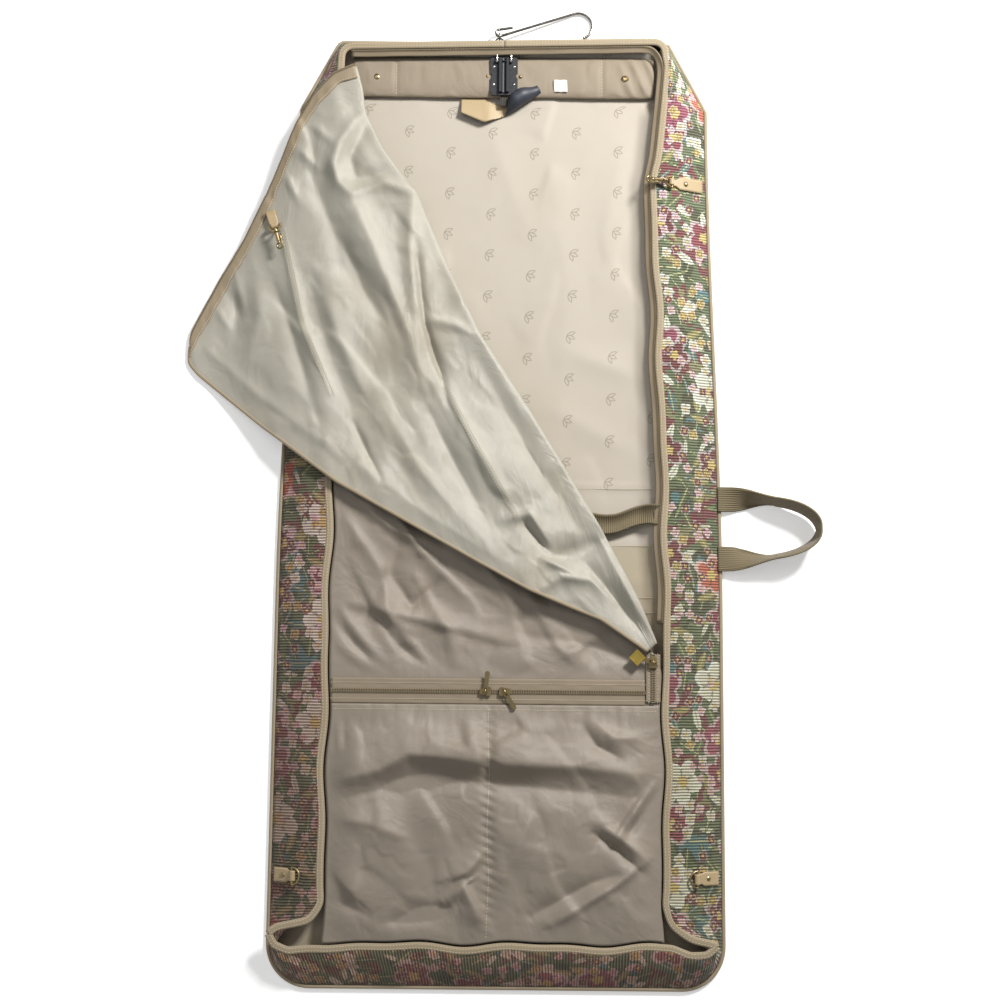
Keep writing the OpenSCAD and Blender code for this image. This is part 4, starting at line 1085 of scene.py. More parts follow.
class Wardrobe:
    """All finishes of the bag."""

    def __init__(self) -> None:
        """Builds each material once."""
        wool = ((120, 116, 90), 0.92)
        self.tapestry = TapestryFinish("tapestry", *wool).build()
        # Lit and shaded copies of the tapestry: the right wall painted lighter and bluer towards the top and darker
        # towards the foot, the left wall painted darker with a wine tint, most of all near the foot, and the bottom
        # wall painted darker with a wine tint
        self.walls = {
            side: TapestryFinish("tapestry_" + side, *wool, tones=tones, run=run).build() for side, tones, run in (
                ("right", ((1.02, 1.2, 1.45, 1), (0.68, 0.76, 0.8, 1)), (0.05, 1.0)),
                ("left", ((0.42, 0.32, 0.37, 1), (0.72, 0.63, 0.77, 1)), (0.8, 1.1)),
                ("bottom", ((0.55, 0.4, 0.46, 1),) * 2, (0.0, 1.0)))}
        self.lining = ClothFinish("lining", (181, 173, 160), 0.6, sprig_rgb=(110, 98, 82), stain_and_shade=0.25,
                                  stain_and_shade_rgb=(170, 156, 136)).build()
        self.header = ClothFinish("header_cloth", (141, 129, 111), 0.6, stain_and_shade_rgb=(130, 114, 92), ruck=0.004).build()
        # The satin's blotches are painted shade: broad brownish patches in its shade colour, at random places
        self.satin = ClothFinish("satin", (169, 166, 154), 0.32, sheen=0.1, stain_and_shade=0.5, stain_and_shade_rgb=(150, 136, 116),
                                 pitch=0.0006, ruck=0.0035).build()
        self.taupe = ClothFinish("taupe", (142, 132, 119), 0.4, sheen=0.1, stain_and_shade=0.25, stain_and_shade_rgb=(122, 110, 96),
                                 pitch=0.0007, ruck=0.004).build()
        self.binding = ClothFinish("binding", (156, 142, 118), 0.7, pitch=0.0011, stain_and_shade_rgb=(140, 122, 92)).build()
        self.tape = ClothFinish("zip_tape", (152, 137, 114), 0.75, pitch=0.0012, stain_and_shade_rgb=(128, 112, 86)).build()
        self.dull_tape = ClothFinish("zip_tape_dull", (140, 127, 108), 0.7, pitch=0.0012,
                                     stain_and_shade_rgb=(118, 104, 84)).build()
        self.webbing = ClothFinish("webbing", (114, 103, 79), 0.8, ribbed=0.0026, stain_and_shade_rgb=(120, 104, 74)).build()
        self.black_web = ClothFinish("black_webbing", (34, 34, 38), 0.7, ribbed=0.002, stain_and_shade_rgb=(18, 18, 20)).build()
        self.tag = ClothFinish("tag_cloth", (214, 212, 206), 0.6, stain_and_shade=0.1, stain_and_shade_rgb=(214, 208, 196)).build()
        self.thread = ClothFinish("thread", (216, 204, 176), 0.7, stain_and_shade=0.1).build()
        self.vinyl = GrainFinish("vinyl", (170, 150, 116), 0.48, flat=True, wear_rgb=(170, 148, 110)).build()
        self.navy = GrainFinish("vinyl_reverse", (44, 48, 58), 0.5, flat=True, wear_rgb=(70, 74, 84)).build()
        self.coil = GrainFinish("coil_plastic", (112, 98, 74), 0.4, wear_rgb=(184, 170, 140)).build()
        self.bracket = GrainFinish("bracket_plastic", (12, 14, 20), 0.5, wear_rgb=(40, 43, 52)).build()
        self.board = GrainFinish("board", (140, 132, 114), 0.7).build()
        self.chrome = MetalFinish("bright_wire", (216, 214, 208), 0.18, (140, 136, 126)).build()
        self.steel = MetalFinish("dark_wire", (122, 120, 116), 0.24, (70, 66, 60)).build()
        self.brass = MetalFinish("pale_brass", (172, 154, 114), 0.3, (104, 88, 60)).build()
        self.gold = MetalFinish("gold", (228, 200, 104), 0.3, (170, 138, 62)).build()


M = Wardrobe()


@dataclass
class Walls:
    """Tapestry walls, the piped outer seam and the bound rim, laid as one strip round the bag."""

    rows: int = 16
    bulge: float = 2.2
    thick: float = 1.5
    piping_r: float = 2.5
    piping_out: float = 2.8
    stitch_out: float = 2.1

    def lines(self) -> dict[str, tuple[Array, Array]]:
        """Returns: Foot line and rim line of each wall, both of shape (n, 3), from top right round to top left."""
        p = PATTERN
        out: dict[str, tuple[Array, Array]] = {}
        half = p.binding / 2
        for name, sign, loop in (
                ("right", 1, [(196, -478), (203, -499), (226, -515), (249, -519), (255, -522)]),
                ("left", -1, [(203, -478), (216, -497), (242, -502), (257, -505), (262, -512)])):
            y = np.linspace(p.y_top - 2, -460, 250)
            foot = np.stack([sign * p.half_w(y), y, np.full_like(y, p.wall_foot_z)], axis=1)
            rim = np.stack([sign * p.rim_mid(y, sign), y, np.full_like(y, p.rim)], axis=1)
            knee = float(p.top_rim_y(sign * p.corner_x)) - p.corner_r
            a = np.clip((y - knee) / (p.y_top - 2 - knee), 0, 1) * 1.2
            rim[:, 0] -= sign * p.corner_r * (1 - np.cos(a))
            rim[:, 1] = np.where(y > knee, knee + p.corner_r * np.sin(a), y)
            end = rim[-1]
            bend = polyline([(end[0], end[1])] + [(sign * a, b) for a, b in loop], 40, 8)
            lift = p.rim + 2.5 * np.sin(np.linspace(0, math.pi / 2, 40))
            arc = p.foot_arc(np.linspace(0, -math.pi / 4, 12)) * [sign, 1]
            low = polyline(np.concatenate([foot[-1:, :2], arc]), 40)
            foot = np.concatenate([foot[:-1], np.c_[low, np.full(40, p.wall_foot_z)]])
            rim = np.concatenate([rim[:-1], np.c_[bend, lift]])
            out[name] = (foot, rim) if sign > 0 else (foot[::-1], rim[::-1])
        k_r, k_l = out["right"][1][-1], out["left"][1][0]
        x = np.linspace(188, -205, 150)
        mid = np.stack([x, p.foot_rim_y(x) - half, np.full_like(x, p.rim)], axis=1)
        path = [tuple(k_r), (243, -532, 27), (224, -533, 26), (203, -525, 25), *mid.tolist(),
                (-220, -529, 25), (-240, -531, 26), (-256, -524, 27), tuple(k_l)]
        rim = polyline(path, 240, 3)
        arc = p.foot_arc(np.linspace(-math.pi / 4, -math.pi / 2, 12))
        foot2 = polyline(np.concatenate([arc, arc[::-1] * [-1, 1]]), 240)
        out["bottom"] = (np.c_[foot2, np.full(240, p.wall_foot_z)], rim)
        return out

    def build(self) -> None:
        """Builds and dresses the walls, bindings, stitches and piping."""
        p = PATTERN
        noise = Noise(11)
        lines = self.lines()
        for name, (foot, rim) in lines.items():
            n = len(foot)
            run = run_along((foot + rim) / 2)
            s = np.linspace(0, 1, self.rows)
            grid = foot[:, None] * (1 - s)[None, :, None] + rim[:, None] * s[None, :, None]
            grid[:, :, 2] = mix(foot[:, None, 2], rim[:, None, 2], np.sin(s * math.pi / 2)[None])
            d = rim - foot
            out = d / np.linalg.norm(d, axis=1, keepdims=True)
            waves = noise.fbm(run[:, None] / 46 + 3 * len(name), s[None] * 2.2, 3)
            puff = np.sin(s * math.pi)[None] * (self.bulge * waves + 0.8 * sind(run * 2.1)[:, None])
            if name == "right":
                puff = puff - 1.6 * np.exp(-(((grid[:, :, 1] - 197) / 5) ** 2)) * np.sin(s * math.pi)[None]
            grid[:, :, 2] += puff
            wide = np.linalg.norm(d, axis=1).mean() * 1.12
            uv = np.stack([np.repeat(run[:, None], self.rows, 1), np.repeat((s * wide)[None], n, 0)], axis=2)
            uv += np.array([{"right": 0, "left": 640, "bottom": 1370}[name], 0])
            shell = Shell.of(grid, self.thick, uv)
            wall = dress(Maker.cloth("wall_" + name, [shell], [M.walls[name]]), "tapestry", "gusset_" + name)
            tape = self.over_top(name, rim) + np.array([0, 0, -0.4])
            bind = dress(Maker.tube("rim_" + name, tape, p.binding / 2, 1.7, [M.binding], 14, power=0.75), "binding",
                         "binding_" + name)
            rows = [dress(Maker.stitches(f"rim_stitch_{name}_{k}", tape, 1.62, [M.thread], 3.6, shift), "binding")
                    for k, shift in (("a", -self.stitch_out), ("b", self.stitch_out))]
        corner = p.foot_arc(np.linspace(-math.pi / 2, 0, 14), self.piping_out)
        y = np.linspace(p.y_foot + p.foot_round + 6, p.y_top - p.drop, 120)
        side = np.stack([p.half_w(y) + self.piping_out, y], axis=1)
        right = np.concatenate([corner, side, [[p.top / 2 + 1.6, p.y_top + 1.8]]])
        loop = np.concatenate([right, right[::-1] * [-1, 1]])
        loop = polyline(np.concatenate([loop, loop[:1]]), 560)[:-1]
        path = np.c_[loop, np.full(len(loop), 2.6)]
        r = self.piping_r
        dress(Maker.tube("piping", path, r, r, [M.binding], 10, True), "binding", "outer_piping")
        self.top_wall()

    @staticmethod
    def over_top(name: str, rim: Array) -> Array:
        """Leads a side's binding round the top corner to the middle of the top edge.

        Args:
            name: Side of the wall.
            rim: Rim line of shape (n, 3).
        Returns:
            The binding's line.
        """
        if name == "bottom":
            return rim
        p = PATTERN
        sign = 1 if name == "right" else -1
        down = rim if sign > 0 else rim[::-1]
        y, r = float(p.top_rim_y(sign * p.corner_x)), p.corner_r
        down = down[down[:, 1] < y - r]
        x = sign * down[0, 0]
        a = np.linspace(math.pi / 2, 0.15, 8)
        turn = np.stack([sign * (x - r + r * np.cos(a)), y - r + r * np.sin(a), np.full(8, p.rim)], axis=1)
        xs = sign * np.linspace(0.2, x - r - 2, 60)
        top = np.stack([xs, p.top_rim_y(xs), np.full(60, p.rim + 0.4)], axis=1)
        line = polyline(np.concatenate([top, turn, down]), 420, 2)
        return line if sign > 0 else line[::-1]

    def top_wall(self) -> None:
        """Builds the narrow wall along the top edge."""
        p = PATTERN
        s = np.linspace(0, 1, 8)
        half = p.top / 2 - 3
        x = np.linspace(-half, half, 90)
        grid = np.zeros((8, 90, 3))
        grid[:, :, 0] = x[None]
        grid[:, :, 1] = mix(p.top_rim_y(x)[None] - 1, p.y_top, s[:, None])
        low = 1 - 0.35 * ease((np.abs(x) - half + 14) / 14)
        grid[:, :, 2] = p.wall_z(0.8 * (1 - s))[:, None] * low[None] + 0.5 * sind(x * 4)[None]
        shell = Shell.of(grid[::-1], self.thick)
        wall = dress(Maker.cloth("wall_top", [shell], [M.tapestry]), "tapestry", "gusset_top")


@dataclass
class Back:
    """Padded back panel and its lining with cross seams."""

    rows: int = 220
    cols: int = 150
    lining_top: float = 12.0
    seams: tuple[float, ...] = (11.0, -58.0, -120.0, -138.0)

    def grid(self, inset: float, top: float, z: float, cols: int) -> Array:
        """Flat grid inside the back's outline.

        Args:
            inset: Distance from the outline's sides and foot.
            top: Distance from the outline's top edge.
            z: Height.
            cols: Number of columns.
        Returns:
            Points of shape (rows, cols, 3), rows running down.
        """
        p = PATTERN
        y = np.linspace(p.y_top - top, p.y_foot + inset, self.rows)
        low = np.clip(p.y_foot + p.foot_round - y, 0, p.foot_round - 0.01)
        half = p.half_w(y) - inset - (p.foot_round - np.sqrt(p.foot_round**2 - low**2))
        s = np.linspace(-1, 1, cols)
        x, yy = half[:, None] * s[None], np.repeat(y[:, None], cols, 1)
        return np.stack([x, yy, np.full((self.rows, cols), z)], axis=2)

    @staticmethod
    def climb(x: Array, y: Array) -> Array:
        """Height that the lining gains where it lies up against the right wall.

        Args:
            x: Positions across.
            y: Positions up the bag.
        Returns:
            Heights.
        """
        p = PATTERN
        rim, half = p.rim_mid(y, 1) - p.binding / 2, p.half_w(y)
        inside = 11 * ease((26 - rim + x) / 26)
        s = np.clip((half - x) / np.maximum(half - rim, 1), 0, 1)
        under = np.clip(p.wall_foot_z + (p.rim - p.wall_foot_z) * sind(90 * s) - 6 - p.lining_z, 0, 11)
        return np.where(x < rim, inside, under) * (1 - ease((y - 478) / 18)) * ease((y + 190) / 40)

    def build(self) -> None:
        """Builds and dresses the back and the lining."""
        p = PATTERN
        noise = Noise(5)
        back = self.grid(0.5, 0.5, p.back / 2, 60)
        quilt = dress(Maker.cloth("back_quilt", [Shell.of(back, p.back - 0.1)], [M.tapestry]), "tapestry", "back_panel")
        g = self.grid(2, self.lining_top, p.lining_z - 0.4, self.cols)
        x, y = g[:, :, 0], g[:, :, 1]
        ripple = 0.6 * noise.fbm(x / 60, y / 60, 3) + noise.facets(x, y / 1.7, 58, 0.035)
        z = np.maximum(ripple, -0.2)
        for seam in self.seams:
            z = z + 0.9 * np.exp(-(((y - seam - 2) / 3) ** 2)) - 0.3 * np.exp(-(((y - seam + 3) / 2) ** 2))
        for c in (Crease(((60, 420), (80, 250), (70, 80)), 1.6, 26), Crease(((150, 440), (120, 300)), 1.8, 18),
                  Crease(((-20, 470), (30, 330)), 1.4, 20), Crease(((80, 180), (165, 150)), 2.2, 16),
                  Crease(((60, 110), (150, 60)), 1.6, 16)):
            z = z + c.lift(x, y)
        g[:, :, 2] += np.maximum(z, -0.25) + 0.3 + 11 * ease((y - p.y_top + 22) / 14) + self.climb(x, y)
        lining = dress(Maker.cloth("lining_cloth", [Shell.of(g, 0.7)], [M.lining]), "lining", "back_lining")
        for k, seam in enumerate(self.seams):
            xs = np.linspace(-60, 190, 120)
            ys = np.full_like(xs, seam)
            path = np.stack([xs, ys, p.lining_z + 1.2 + self.climb(xs, ys)], axis=1)
            dress(Maker.stitches(f"lining_stitch_{k}", path, 0.2, [M.thread], 3.4), "lining")


@dataclass
class Cover:
    """Front cover: its closed lower part, the round fold and the part turned back, inside up."""

    flap_lift: float = 6.0
    floor_gap: float = 1.2
    rows: int = 200
    flap_cols: int = 120
    closed_cols: int = 100
    bend_cols: int = 10
    flap_share: float = 1.25
    closed_share: float = 1.5
    flat_w: float = 460.0
    calm_spot: tuple[float, float] = (-272.0, 310.0)
    main_folds: tuple[Crease, ...] = (
        Crease(((-268, 325), (-240, 205), (-203, 120)), 4.6, 6, 1.6),
        Crease(((-78, 150), (-30, 60), (20, -26)), 4.6, 6, 1.6),
        Crease(((-268, 270), (-205, 80)), 3.0, 17, 2.0),
        Crease(((-120, 370), (-88, 190)), 5.5, 22, 2.0),
        Crease(((-205, 400), (-150, 215)), 3.8, 24, 2.0),
        Crease(((60, 5), (-70, 70)), 3.8, 24, 2.0),
        Crease(((-320, 190), (-250, 120)), 2.2, 22, 2.0))
    fine_folds: tuple[Crease, ...] = (
        Crease(((-292, 293), (-262, 219), (-239, 150), (-224, 97)), -5, 10, 1.5),
        Crease(((-240, 281), (-214, 191), (-181, 106)), -4.5, 15, 1.5),
        Crease(((-187, 370), (-161, 310), (-129, 235), (-110, 186), (-87, 110)), 9, 17, 1.5),
        Crease(((-233, 389), (-203, 312), (-166, 245), (-137, 204)), -9, 17, 1.5),
        Crease(((-175, 468), (-200, 429), (-207, 404), (-201, 380), (-184, 365)), 6.5, 6.5, 1.4),
        Crease(((-186, 363), (-144, 381), (-110, 368)), 6, 6.5, 1.4),
        Crease(((-169, 451), (-187, 413), (-180, 387), (-138, 395)), -6, 9, 1.5),
        Crease(((-110, 365), (-112, 298), (-104, 236), (-93, 192)), 5, 9, 1.4),
        Crease(((-102, 283), (-93, 208), (-76, 155), (-63, 111)), -7.5, 5.5, 1.4),
        Crease(((-84, 209), (-56, 204), (-38, 194)), 5, 6, 1.4),
        Crease(((-91, 110), (-50, 28), (-12, -38)), -6, 11, 1.5),
        Crease(((-176, 85), (-161, 52), (-142, 16)), -5, 4.5, 1.4),
        Crease(((-188, 155), (-137, 64), (-80, -32)), -5, 24, 1.5),
        Crease(((-213, 234), (-179, 149), (-129, 52)), 4, 13, 1.5),
        Crease(((6, -31), (36, -23), (55, -54)), 5.5, 6, 1.4),
        Crease(((29, -33), (55, -64)), -7, 5.5, 1.4),
        Crease(((62, -73), (93, -68), (121, -54)), -10, 11, 1.5),
        Crease(((53, -78), (86, -93)), 7, 5.5, 1.4),
        Crease(((46, -116), (72, -98), (107, -101), (133, -127)), 6, 7, 1.4),
        Crease(((119, -54), (150, -113), (178, -162)), 5, 8, 1.5),
        Crease(((105, -85), (140, -127), (166, -160)), -7, 8, 1.5),
        Crease(((-234, 454), (-210, 433)), 3.5, 4.5, 1.4),
        Crease(((-249, 422), (-226, 400)), 3.5, 4.5, 1.4),
        Crease(((-265, 392), (-248, 354)), 4.5, 5, 1.4),
        Crease(((-312, 299), (-301, 276)), 3, 4.5, 1.4),
        Crease(((-328, 278), (-316, 231)), 3.5, 6, 1.5),
        Crease(((-339, 253), (-321, 219)), -3.5, 6, 1.5),
        Crease(((-350, 231), (-335, 206)), 3, 4.5, 1.4),
        Crease(((-303, 281), (-294, 219), (-307, 169)), 5, 12, 1.5),
        Crease(((-327, 252), (-324, 194)), -4, 8, 1.5),
        Crease(((-357, 175), (-289, 116), (-213, 61)), 3.5, 10, 1.5),
        Crease(((-204, 63), (-95, -20), (1, -79)), 3.5, 14, 1.5),
        Crease(((-145, 112), (-96, 28), (-23, -55)), 4.5, 14, 1.5),
        Crease(((-76, 298), (-38, 211), (23, 102)), 4, 16, 1.5),
        Crease(((-26, 162), (47, 29), (95, -42)), -4, 14, 1.5))
    closed_folds: tuple[Crease, ...] = (
        Crease(((-190, 10), (-130, -40), (-60, -70)), 3.6, 9, 1.4, 0.5),
        Crease(((-150, 20), (-100, -60), (-30, -130)), 3.8, 8, 1.3, -0.5),
        Crease(((-190, -20), (-140, -90), (-120, -190)), 3.4, 9, 1.4, -0.5),
        Crease(((-110, -20), (-130, -90), (-175, -170)), -3.0, 10, 1.4),
        Crease(((-70, -50), (-20, -80), (20, -140)), 3.2, 9, 1.4, 0.4),
        Crease(((-180, -130), (-90, -150), (10, -175)), 3.2, 8, 1.4, 0.5),
        Crease(((-30, -90), (40, -130), (120, -150)), 3.2, 10, 1.4, 0.4),
        Crease(((-100, -100), (-60, -160), (-50, -200)), 2.8, 8, 1.4),
        Crease(((30, -110), (70, -180), (90, -200)), 2.6, 8, 1.4, 0.4),
        Crease(((-126, -100), (-104, -133), (-71, -103)), -4.4, 6, 1.3),
        Crease(((-204, -140), (-178, -173), (-152, -199)), -4.2, 6, 1.3, 0.4),
        Crease(((-196, -130), (-168, -165), (-140, -196)), 3.4, 7, 1.3),
        Crease(((-142, -148), (-119, -181), (-94, -199)), -4.0, 6, 1.3, 0.4),
        Crease(((-134, -140), (-108, -172), (-84, -196)), 3.2, 7, 1.3),
        Crease(((79, -190), (116, -168)), 3.2, 7, 1.3, 0.4),
        Crease(((20, -165), (110, -178), (165, -195)), -2.6, 8, 1.4))

    def __post_init__(self) -> None:
        """Seeds the small unevenness."""
        self.noise = Noise(23)

    def flap_z(self, x: Array, y: Array) -> Array:
        """Height of the turned-back part.

        Args:
            x: Positions across.
            y: Positions up the bag.
        Returns:
            Height of its middle.
        """
        p = PATTERN
        out = ease((-x - p.half_w(y) + 40) / 150)
        lift = self.flap_lift + 4 * ease((x + 240) / 40)
        z = mix(p.rim + lift, self.floor_gap + p.cloth, out)
        share = 1 - 0.45 * out
        z = z + sum(c.lift(x, y) for c in self.main_folds) * share
        far = ease((np.hypot(x - self.calm_spot[0], y - self.calm_spot[1]) - 26) / 60)
        along, across = 0.55 * x - 0.83 * y, 0.83 * x + 0.55 * y
        crumple = self.noise.facets(across, along / 2.1, 44, 0.09)
        crumple = crumple + self.noise.facets(across + 30, along / 1.5, 21, 0.06)
        folds = self.flap_share * sum(c.lift(x, y) for c in self.fine_folds)
        fine = folds + 0.6 * self.noise.fbm(x / 50, y / 62, 3) + crumple
        low = self.rest_z(x, y)
        z = z + fine * far * share
        return np.where(far < 0.02, z, low + 0.5 * (z - low + np.sqrt((z - low) ** 2 + 2.0 * far)))

    def rest_z(self, x: Array, y: Array) -> Array:
        """Lowest height for the turned-back part: on the floor, the left wall, its binding or the closed cover.

        Args:
            x: Positions across.
            y: Positions up the bag.
        Returns:
            Height of the cloth's middle.
        """
        p = PATTERN
        edge = p.half_w(y) + x
        s = np.clip(edge / p.left_wall, 0, 1)
        wall = p.wall_foot_z + (p.rim - p.wall_foot_z) * sind(90 * s) + 3.6
        wall = mix(wall, p.rim + 1.6, ease((edge - p.left_wall - 14) / 12))
        return np.where(edge > 0, wall, self.floor_gap + p.cloth / 2)

    def flap(self, u: Array, v: Array) -> Array:
        """Points of the turned-back part.

        Args:
            u: Positions along the fold.
            v: Positions from the fold to the free edge.
        Returns:
            Points of shape (len(u), len(v), 3).
        """
        xy = PATTERN.flap_xy(u, v)
        xy = xy + self._corner(u, v)
        return np.concatenate([xy, self.flap_z(xy[:, :, 0], xy[:, :, 1])[:, :, None]], axis=2)

    @staticmethod
    def _corner(u: Array, v: Array) -> Array:
        """Rounds the flap's free corner.

        Args:
            u: Positions along the fold.
            v: Positions from the fold to the free edge.
        Returns:
            Offsets of shape (len(u), len(v), 2).
        """
        near = np.clip(1 - u / 0.045, 0, 1)[:, None] ** 2 * np.clip(1 - (1 - v) / 0.075, 0, 1)[None] ** 2
        inward = PATTERN.fold_xy(np.array([0.35]))[0] - np.array(PATTERN.corner)
        return near[:, :, None] * inward / np.linalg.norm(inward) * 9

    def closed_z(self, x: Array, y: Array) -> Array:
        """Height of the closed part's middle.

        Args:
            x: Positions across.
            y: Positions up the bag.
        Returns:
            Heights.
        """
        p = PATTERN
        edge = ease((x - p.cover_left(y)) / 25) * ease((p.cover_right(y) - x) / 25)
        clear = ease((y - p.pocket_zip_y - 12) / 30)
        crumple = self.noise.facets(x + 0.5 * y, y / 1.5, 46, 0.11) + self.noise.facets(x, y, 19, 0.06)
        fine = self.closed_share * sum(c.lift(x, y) for c in self.closed_folds) + crumple
        flap_x, flap_y = zip(*p.edge_points, tuple(p.fold_b))
        fine = fine * (1 - ease((y - np.interp(x, flap_x, flap_y) - 2) / 22))
        return p.cover_z(x, y) - p.cloth / 2 + fine * edge * clear

    def build(self) -> None:
        """Builds and dresses the cover with its bound edge, seam stitches and the open half of the main zip."""
        p = PATTERN
        u = np.linspace(0, 1, self.rows)
        fold = p.fold_xy(u)
        foot = fold - p.fold_out * 8
        s = np.linspace(0, 1, self.closed_cols)
        y = mix(fold[:, 1:2], foot[:, 1:2], s[None])
        x = mix(p.cover_left(y), foot[:, 0:1], s[None])
        closed = np.stack([x, y, self.closed_z(x, y)], axis=2)
        v = np.linspace(0, 1, self.flap_cols) ** 0.9
        flap = self.flap(u, v)
        low, high = closed[:, -1, 2], flap[:, 0, 2]
        step = np.arange(self.bend_cols) + 1
        a = step * math.pi / (self.bend_cols + 1)
        wide = mix(foot[:, None], fold[:, None], step[None, :, None] / (self.bend_cols + 1))
        bend_xy = wide + p.fold_out * (np.sin(a) * 5.5)[None, :, None]
        bend_z = mix(low[:, None], high[:, None], ((1 - np.cos(a)) / 2)[None])
        bend = np.concatenate([bend_xy, bend_z[:, :, None]], axis=2)
        rows = np.concatenate([closed, bend, flap], axis=1)
        top = Shell.of(rows, p.cloth)
        top.open_last_row_from = self.closed_cols - 1
        t = np.linspace(0, 1, 110)
        yy = mix(p.y_open, p.y_foot + p.foot_wall, t)[:, None]
        x2 = mix(p.cover_left(yy), p.cover_right(yy), s[None])
        y2 = mix(p.y_open, p.foot_rim_y(x2) + 0.6, t[:, None])
        fade = np.clip(1 - t / 0.12, 0, 1)[:, None] ** 2
        x2 = x2 + (closed[-1:, :, 0] - x2[:1]) * fade
        y2 = y2 + (closed[-1:, :, 1] - y2[:1]) * fade
        low_rows = np.stack([x2, y2, self.closed_z(x2, y2)], axis=2)
        low_shell = Shell.of(low_rows, p.cloth)
        low_shell.outer[0], low_shell.inner[0] = top.outer[-1, :self.closed_cols], top.inner[-1, :self.closed_cols]
        low_shell.open_first_row = True
        cover = dress(Maker.cloth("cover_cloth", [top, low_shell], [M.taupe, M.satin], merge=True), "cover",
                      "front_cover")
        sewn = [self.edge(u), *self.seam()]
        self.zip_half()

    def edge(self, u: Array) -> Piece:
        """Binds the flap's free edge. Returns: The binding."""
        path = self.flap(u, np.array([0.995]))[:, 0]
        return dress(Maker.tube("cover_edge", path, 2.4, 1.5, [M.binding], 10), "binding")

    def seam(self) -> list[Piece]:
        """Builds twin rows of stitches along the flap's inner seam, on its first two folds.

        Returns:
            The rows.
        """
        rows = []
        for tag, fold in zip(("upper", "lower"), self.main_folds):
            line = polyline(fold.points, 90, 4)
            path = np.c_[line, self.flap_z(line[:, 0], line[:, 1]) + PATTERN.cloth / 2]
            rows += [dress(Maker.stitches(f"cover_seam_{tag}_{k}", path, 0.25, [M.thread], 4.0, shift), "cover")
                     for k, shift in (("a", -2.6), ("b", 2.6))]
        return rows

    def zip_half(self) -> None:
        """Builds the open half of the main zip along the flap's side edge."""
        v = np.linspace(0.0, 0.995, 160)
        side = self.flap(np.array([0.0, 0.03]), v)
        inward = side[1] - side[0]
        inward[:, 2] = 0
        inward /= np.linalg.norm(inward, axis=1, keepdims=True)
        w = np.linspace(-3.5, 14, 10)
        uneven = 1 + 0.12 * self.noise.fbm(v * 26, v * 0, 2)
        at = side[0][:, None] + inward[:, None] * (w[None] * uneven[:, None])[:, :, None]
        at[:, :, 2] = self.flap_z(at[:, :, 0], at[:, :, 1]) + PATTERN.cloth / 2 + 1.1
        at[:, :, 2] += 0.5 * self.noise.fbm(v * 40, v * 0 + 3, 2)[:, None] * (w > 4)[None]
        shell = Shell.of(at[:, ::-1] if inward[0, 0] < 0 else at, 0.9)
        tape = dress(Maker.cloth("cover_tape", [shell], [M.tape]), "zip_tape", "flap_zip_tape")
        coil = dress(Maker.teeth("cover_teeth", at[:, 1], 0.8, [M.coil], 2.0, 1.7), "zip_coil")
        row = dress(Maker.stitches("cover_tape_stitch", at[:, 8], 0.6, [M.thread], 3.6), "zip_tape")


